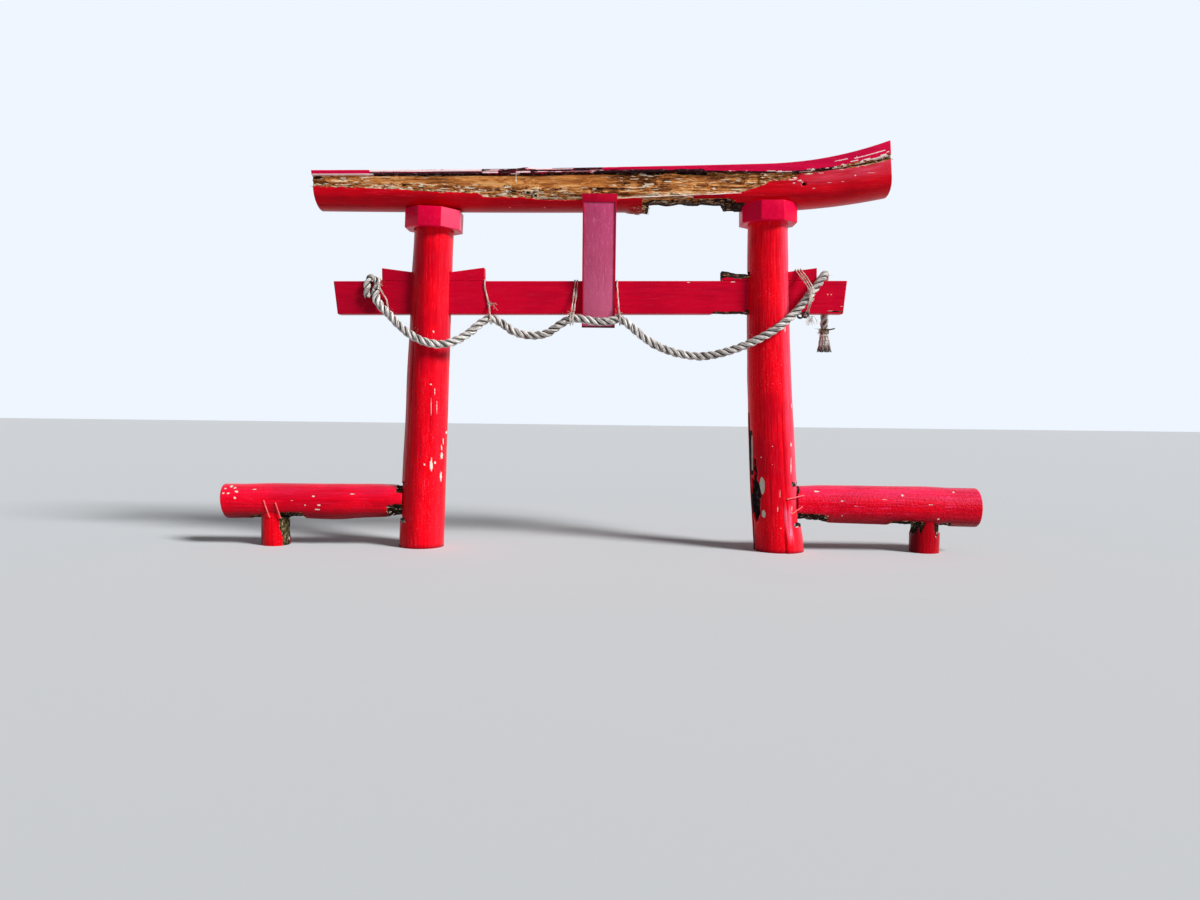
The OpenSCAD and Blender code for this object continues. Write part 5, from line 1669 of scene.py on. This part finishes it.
def knot(at, size):
    """A string drawn up into a small knot."""
    a = 2 * math.pi * np.linspace(0, 1, 40)
    path = np.column_stack([
        at[0] + size * (np.sin(a) + 2 * np.sin(2 * a)) / 3,
        at[1] - size * 0.6 * np.sin(3 * a) / 2,
        at[2] + size * (np.cos(a) - 2 * np.cos(2 * a)) / 3])
    return laid_rings(path, np.linspace(0, 0.15, 40), 2, KNOT_STRING_R, 0.0018, 0.05, 6)


def loose_end(at, way, length, seed):
    """A string's end that stands out from a knot, droops, and opens into yarns."""
    rng = np.random.default_rng(seed)
    t = np.linspace(0, 1, 9)
    way = np.array(way) / np.linalg.norm(way)
    path = np.array(at) + length * (way * t[:, None] + np.array([0, 0, -0.5]) * t[:, None]**2)
    made = laid_rings(path[:6], length * t[:6], 1, STRING_R, 0.0004, 0.05, 6)
    for k in range(5):
        apart = rng.uniform(-0.5, 0.5, 3) * length
        tip = path[4] + (path[-1] - path[4]) * 1.2 * t[:, None] + apart * t[:, None]**2
        made += laid_rings(tip, length * t, 1, FRAYED_R, 0.0002, 0.05, 4)
    return made


def round_the_rope(x, angles):
    """Points close round the rope, at angles counted from the back, and over the top."""
    front = rope_route[: int(len(rope_route) * 0.84)]
    k = int(np.argmin(np.abs(front[:, 0] - x) + 10 * (np.arange(len(front)) < 12)))
    ahead = front[k + 1] - front[k - 1]
    steep = np.linalg.norm(ahead) / abs(ahead[0])
    c = TIE_R * steep + FIT + BULGE
    return [(x, front[k][1] + (ROPE_D / 2 + c) * math.cos(v),
             front[k][2] + (ROPE_D / 2 * steep + c) * math.sin(v))
            for v in np.radians(angles)]


def over_the_beam(top_x, rope_x, knot_at):
    """A loop that leaves its knot in front, goes over the beam and down behind it, and
    comes back under the rope."""
    c, half = TIE_R + FIT, BEAM_T / 2
    top, low = beam_top(top_x), beam_under(rope_x)
    return [knot_at, (top_x, -half - c, top - 0.05), (top_x, -half - c, top),
            (top_x, -half, top + c), (top_x, half, top + c), (top_x, half + c, top),
            ((top_x + rope_x) / 2, half + c, (top + low) / 2),
            (rope_x, half + c, low), (rope_x, half, low - c)] + round_the_rope(
                rope_x, (320, 285, 250, 215, 180)) + [knot_at]


def tie(name, rings, node, hairs=120.0):
    """A tie as one piece, with a fuzz of short fibres on it."""
    cords = skin(name, rings, tie_hemp)
    fuzz = grown(f"{name}_fuzz", cords, hair_group, Part=hair, Density=hairs, Lean=1.0,
                 Smallest=0.12, Largest=0.40, Seed=len(name), Material=tie_hemp)
    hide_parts(node)
    for piece in (cords, fuzz):
        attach(piece, "root")


# The left tie, knotted half way up the beam, with a tuft
left_knot = (-0.992, -0.070, 2.156)
rings = strings(1, over_the_beam(-1.028, -0.967, left_knot))
rings += knot(left_knot, 0.013) + knot((-0.984, -0.074, 2.142), 0.010)
for way, length, seed in (((1, -0.3, 0.5), 0.055, 1), ((1, -0.2, 0.0), 0.065, 2),
                          ((0.5, -0.3, 0.9), 0.035, 3), ((1, -0.5, 0.2), 0.045, 4)):
    rings += loose_end(left_knot, way, length, seed)
tie("left_string_tie", rings, "left_beam_tie")

# The two ties at the board's left, with one lump of a knot on the rope
low_knot = (-0.262, -0.178, 2.066)
rings = strings(2, over_the_beam(-0.238, -0.270, (-0.262, -0.150, 2.090)), 2)
rings += strings(3, over_the_beam(-0.216, -0.248, (-0.240, -0.150, 2.090)), 2)
rings += knot(low_knot, 0.015) + knot((-0.250, -0.172, 2.056), 0.012)
for way, length, seed in (((-1, -0.2, 0.4), 0.035, 5), ((-0.6, -0.2, 0.9), 0.032, 6),
                          ((0.8, -0.3, 0.6), 0.028, 7)):
    rings += loose_end(low_knot, way, length, seed)
tie("board_left_strings", rings, "board_left_tie")

# The tie at the board's right
right_knot = (0.156, -0.166, 2.078)
rings = strings(4, over_the_beam(0.134, 0.160, (0.150, -0.140, 2.110)))
rings += knot(right_knot, 0.011)
rings += loose_end(right_knot, (0.6, -0.3, 0.6), 0.026, 8)
tie("board_right_strings", rings, "board_right_tie")

# The tie that holds the eye's right leg to the beam
c, half = TIE_R + FIT, BEAM_T / 2
eye_knot = (-1.936, -0.146, 2.300)
over_x, under_x = -1.944, -1.870
rings = strings(5, [
    eye_knot, (-1.940, -0.142, 2.340), (-1.946, -0.104, 2.374),
    (over_x, -half, beam_top(over_x) + c), (over_x, half, beam_top(over_x) + c),
    (over_x, half + c, beam_top(over_x)), (-1.905, half + c, 2.200),
    (under_x, half + c, beam_under(under_x)), (under_x, half, beam_under(under_x) - c),
    (under_x, -half, beam_under(under_x) - c), (under_x, -half - c, beam_under(under_x)),
    (-1.888, -0.070, 2.170), (-1.915, -0.088, 2.225), (-1.932, -0.130, 2.270), eye_knot])
rings += knot(eye_knot, 0.012)
rings += loose_end(eye_knot, (0.7, -0.4, 0.8), 0.030, 9)
tie("eye_strings", rings, "eye_tie")

# Three turns over the right outer wedge and the rope, with long frayed strings below
WEDGE_TIE_X = (1.700, 1.724, 1.748)
WEDGE_TIE_ENDS = (1.792, 1.803, 1.816)
mouth = mouth_s(pillar_facts["right"], 1)
rings = []
for k, x in enumerate(WEDGE_TIE_X):
    top = beam_top(x) + FIT + WEDGE_H + (x - mouth) * math.tan(WEDGE_SLOPE + BEAM_TILT)
    end = WEDGE_TIE_ENDS[k]
    low = beam_under(end)
    points = [(x, -half, top + c), (x, -half - c, top)] + round_the_rope(
        end, (126, 155, 184, 213, 242, 271)) + [
        (end, -half - c, low), (end, -half, low - c), (end, half, low - c),
        (end, half + c, low), ((x + end) / 2, half + c, (top + low) / 2),
        (x, half + c, top), (x, half, top + c), (x, -half, top + c)]
    rings += strings(6 + k, points, 2)
rings += knot((1.818, -0.196, 2.262), 0.016) + knot((1.834, -0.176, 2.300), 0.012)
rings += knot((1.826, -0.160, 2.215), 0.015)
for k in range(7):
    start = np.array([1.822 + 0.005 * k, -0.085, 2.085 - 0.004 * (k % 3)])
    t = np.linspace(0, 1, 10)
    drop = 0.060 + 0.030 * ((k * 5) % 4) / 3
    path = start + np.column_stack([
        (0.020 * math.sin(2.4 * k)) * t**2, 0.010 * np.sin(t * 4 + k), -drop * t])
    rings += laid_rings(path, drop * t, 1, 0.0014, 0.0005, 0.04, 5)
for k in range(6):
    rings += loose_end((1.800 + 0.012 * k, -0.086, 2.078), (math.sin(3 * k), -0.5, -0.6),
                       0.045, 20 + k)
tie("wedge_strings", rings, "wedge_tie", hairs=200.0)


# Wire: two twists of old iron wire, blackened by rust, that hang in front of the beam's
# lower edge beside the right tie.
WIRE_R, WIRE_TURNS = 0.0072, 2.2
black_wire, sheet, shader = new_material("black_wire")
rusty = sheet.noise(sheet.place(), 160.0, 3.0)
tone = sheet.mix(sheet.step(rusty, 0.56, 0.70), (0.006, 0.006, 0.007), (0.040, 0.022, 0.014))
sheet.fill(shader, Base_Color=tone, Roughness=sheet.plus(0.35, sheet.times(rusty, 0.4)),
           Normal=sheet.bump(rusty, 0.0006), Specular_IOR_Level=0.4)
turns = []
for at, size, start in (((1.790, -0.073, 2.092), 0.028, 0.3),
                        ((1.744, -0.074, 2.086), 0.027, 2.2)):
    a = start + np.linspace(0, WIRE_TURNS * 2 * math.pi, 70)
    r = size * (1 - 0.012 * (a - start)) * (1 + 0.08 * np.sin(1.7 * a))
    path = np.column_stack([at[0] + r * np.cos(a), at[1] - 0.0005 * (a - start),
                            at[2] + 0.92 * r * np.sin(a)])
    turns += laid_rings(path, np.linspace(0, 0.3, 70), 1, WIRE_R, 0.0002, 0.05, 8)
wire = skin("wire_twists", turns, black_wire)
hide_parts("wire_loops")
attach(wire, "root")


# Stick: a short twig pushed through the binding over the tassel to keep it tight, with
# the ends of the binding's string knotted beside it.
TWIG_R = 0.0062
twig_route, twig_along = smooth_route([
    (1.985, 0.104, 1.976), (2.020, 0.104, 1.982), (2.060, 0.106, 1.981),
    (2.096, 0.109, 1.990)], 0.006)
twig_wood = cord_material("twig_bark", (0.16, 0.12, 0.10), (0.02, 0.016, 0.014), 1.0)
stick = skin("binding_stick", laid_rings(twig_route, twig_along, 1, TWIG_R, 0.0005, 0.09, 9),
             twig_wood)
rings = []
for k, (way, length) in enumerate((((-1, -0.5, 0.3), 0.05), ((-1, -0.3, -0.3), 0.04),
                                   ((0.6, -1, 0.2), 0.035))):
    rings += loose_end((2.012 - 0.030 * (k < 2), 0.112, 1.985 - 0.008 * k), way, length, 40 + k)
rings += knot((1.992, 0.110, 1.982), 0.011)
binding_ends = skin("binding_string_ends", rings, string_hemp)
for piece in (stick, binding_ends):
    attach(piece, "root")
aside(hair)


# Cramps: iron staples with flattened ends, driven in across the joints of rails, posts
# and pillars, and painted over with the gate.
CRAMP_R = 0.0052
CRAMP_LEG = 0.022
cramps = []
for a, b in (((-2.944, -0.162, 0.404), (-2.904, -0.141, 0.263)),
             ((-2.841, -0.164, 0.386), (-2.807, -0.131, 0.251)),
             ((1.638, -0.208, 0.477), (1.790, -0.150, 0.506)),
             ((1.679, -0.196, 0.344), (1.776, -0.168, 0.407))):
    a, b = np.array(a), np.array(b)
    inward = np.array([0, CRAMP_LEG, 0])
    points = [a + inward, a + 0.25 * inward, a + 0.06 * (b - a), b - 0.06 * (b - a),
              b + 0.25 * inward, b + inward]
    route, along = smooth_route(points, 0.004)
    cramps += laid_rings(route, along, 1, CRAMP_R, 0.0003, 0.09, 10, 4)
cramp_paint = painted_wood("cramp_paint", (1, 1, 1), (1.00, 0.20, 0.20),
                           (0.62, 0.04, 0.05), wear=0.12,
                           primer_tone=(0.95, 0.66, 0.58), bump=0.002)
staples = skin("iron_cramps", cramps, cramp_paint)
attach(staples, "root")


# Nails: round iron heads, painted over with the gate, two in the beam's right end and
# two in the log's underside, set on their places by Geometry Nodes.
NAIL_R = 0.008
a = round_angles(14)
head_rings = [
    np.column_stack([NAIL_R * wide * np.cos(a), at + 0 * a, -NAIL_R * wide * np.sin(a)])
    for at, wide in ((0.0030, 0.85), (0.0, 1.0), (-0.0012, 0.96), (-0.0024, 0.80),
                     (-0.0031, 0.45), (-0.0033, 0.05))]
nail = skin("one_nail", [np.array(head_rings)], cramp_paint)
nail_places = [(1.983, -BEAM_T / 2, 2.271), (2.014, -BEAM_T / 2, 2.271),
               (-0.808, -0.110, 2.990), (-0.506, -0.108, 2.992)]
mesh = bpy.data.meshes.new("nail_places")
mesh.from_pydata(nail_places, [], [])
marked = bpy.data.objects.new("nail_places", mesh)
nails = grown("nail_heads", marked, scatter_group("nail_heads"), Part=nail, Smallest=0.85,
              Largest=1.1, Seed=3, Material=cramp_paint)
aside(nail)
aside(marked)
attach(nails, "root")


# Floor, backdrop and light: a pale floor, a pale room and one broad lamp from the
# upper right in front.
FLOOR_COLOUR = (0.62, 0.64, 0.66)
BACKDROP = (0.86, 0.92, 1.0)
FILL_STRENGTH = 0.10
KEY_STRENGTH = 4.3
KEY_FROM = Vector((8.4, -5.4, 7.5))
KEY_SPREAD = math.radians(17)

floor_material, sheet, shader = new_material("floor")
sheet.fill(shader, Base_Color=FLOOR_COLOUR, Roughness=0.9)
floor_mesh = bpy.data.meshes.new("floor")
half = 60
floor_mesh.from_pydata(
    [(-half, -half, 0), (half, -half, 0), (half, half, 0), (-half, half, 0)], [],
    [(0, 1, 2, 3)])
floor_mesh.materials.append(floor_material)
floor = in_scene("floor", floor_mesh)

world = bpy.data.worlds.new("room")
world.use_nodes = True
bpy.context.scene.world = world
sheet = Sheet(world.node_tree)
light_path = sheet.node("ShaderNodeLightPath").outputs
seen = sheet.most(light_path["Is Camera Ray"], light_path["Is Glossy Ray"])
seen = sheet.most(seen, light_path["Is Transmission Ray"])
lit = world.node_tree.nodes["Background"]
sheet.fill(lit, Color=(1, 1, 1), Strength=FILL_STRENGTH)
shown = sheet.node("ShaderNodeBackground", Color=BACKDROP, Strength=1.0)
both = sheet.node("ShaderNodeMixShader", Fac=seen)
sheet.put(both.inputs[1], lit.outputs["Background"])
sheet.put(both.inputs[2], shown.outputs["Background"])
sheet.put(world.node_tree.nodes["World Output"].inputs["Surface"], both.outputs["Shader"])

key = bpy.data.lights.new("key", "SUN")
key.energy = KEY_STRENGTH
key.angle = KEY_SPREAD
key_lamp = in_scene("key", key)
key_lamp.rotation_mode = "QUATERNION"
key_lamp.rotation_quaternion = (-KEY_FROM).to_track_quat("-Z", "Y")
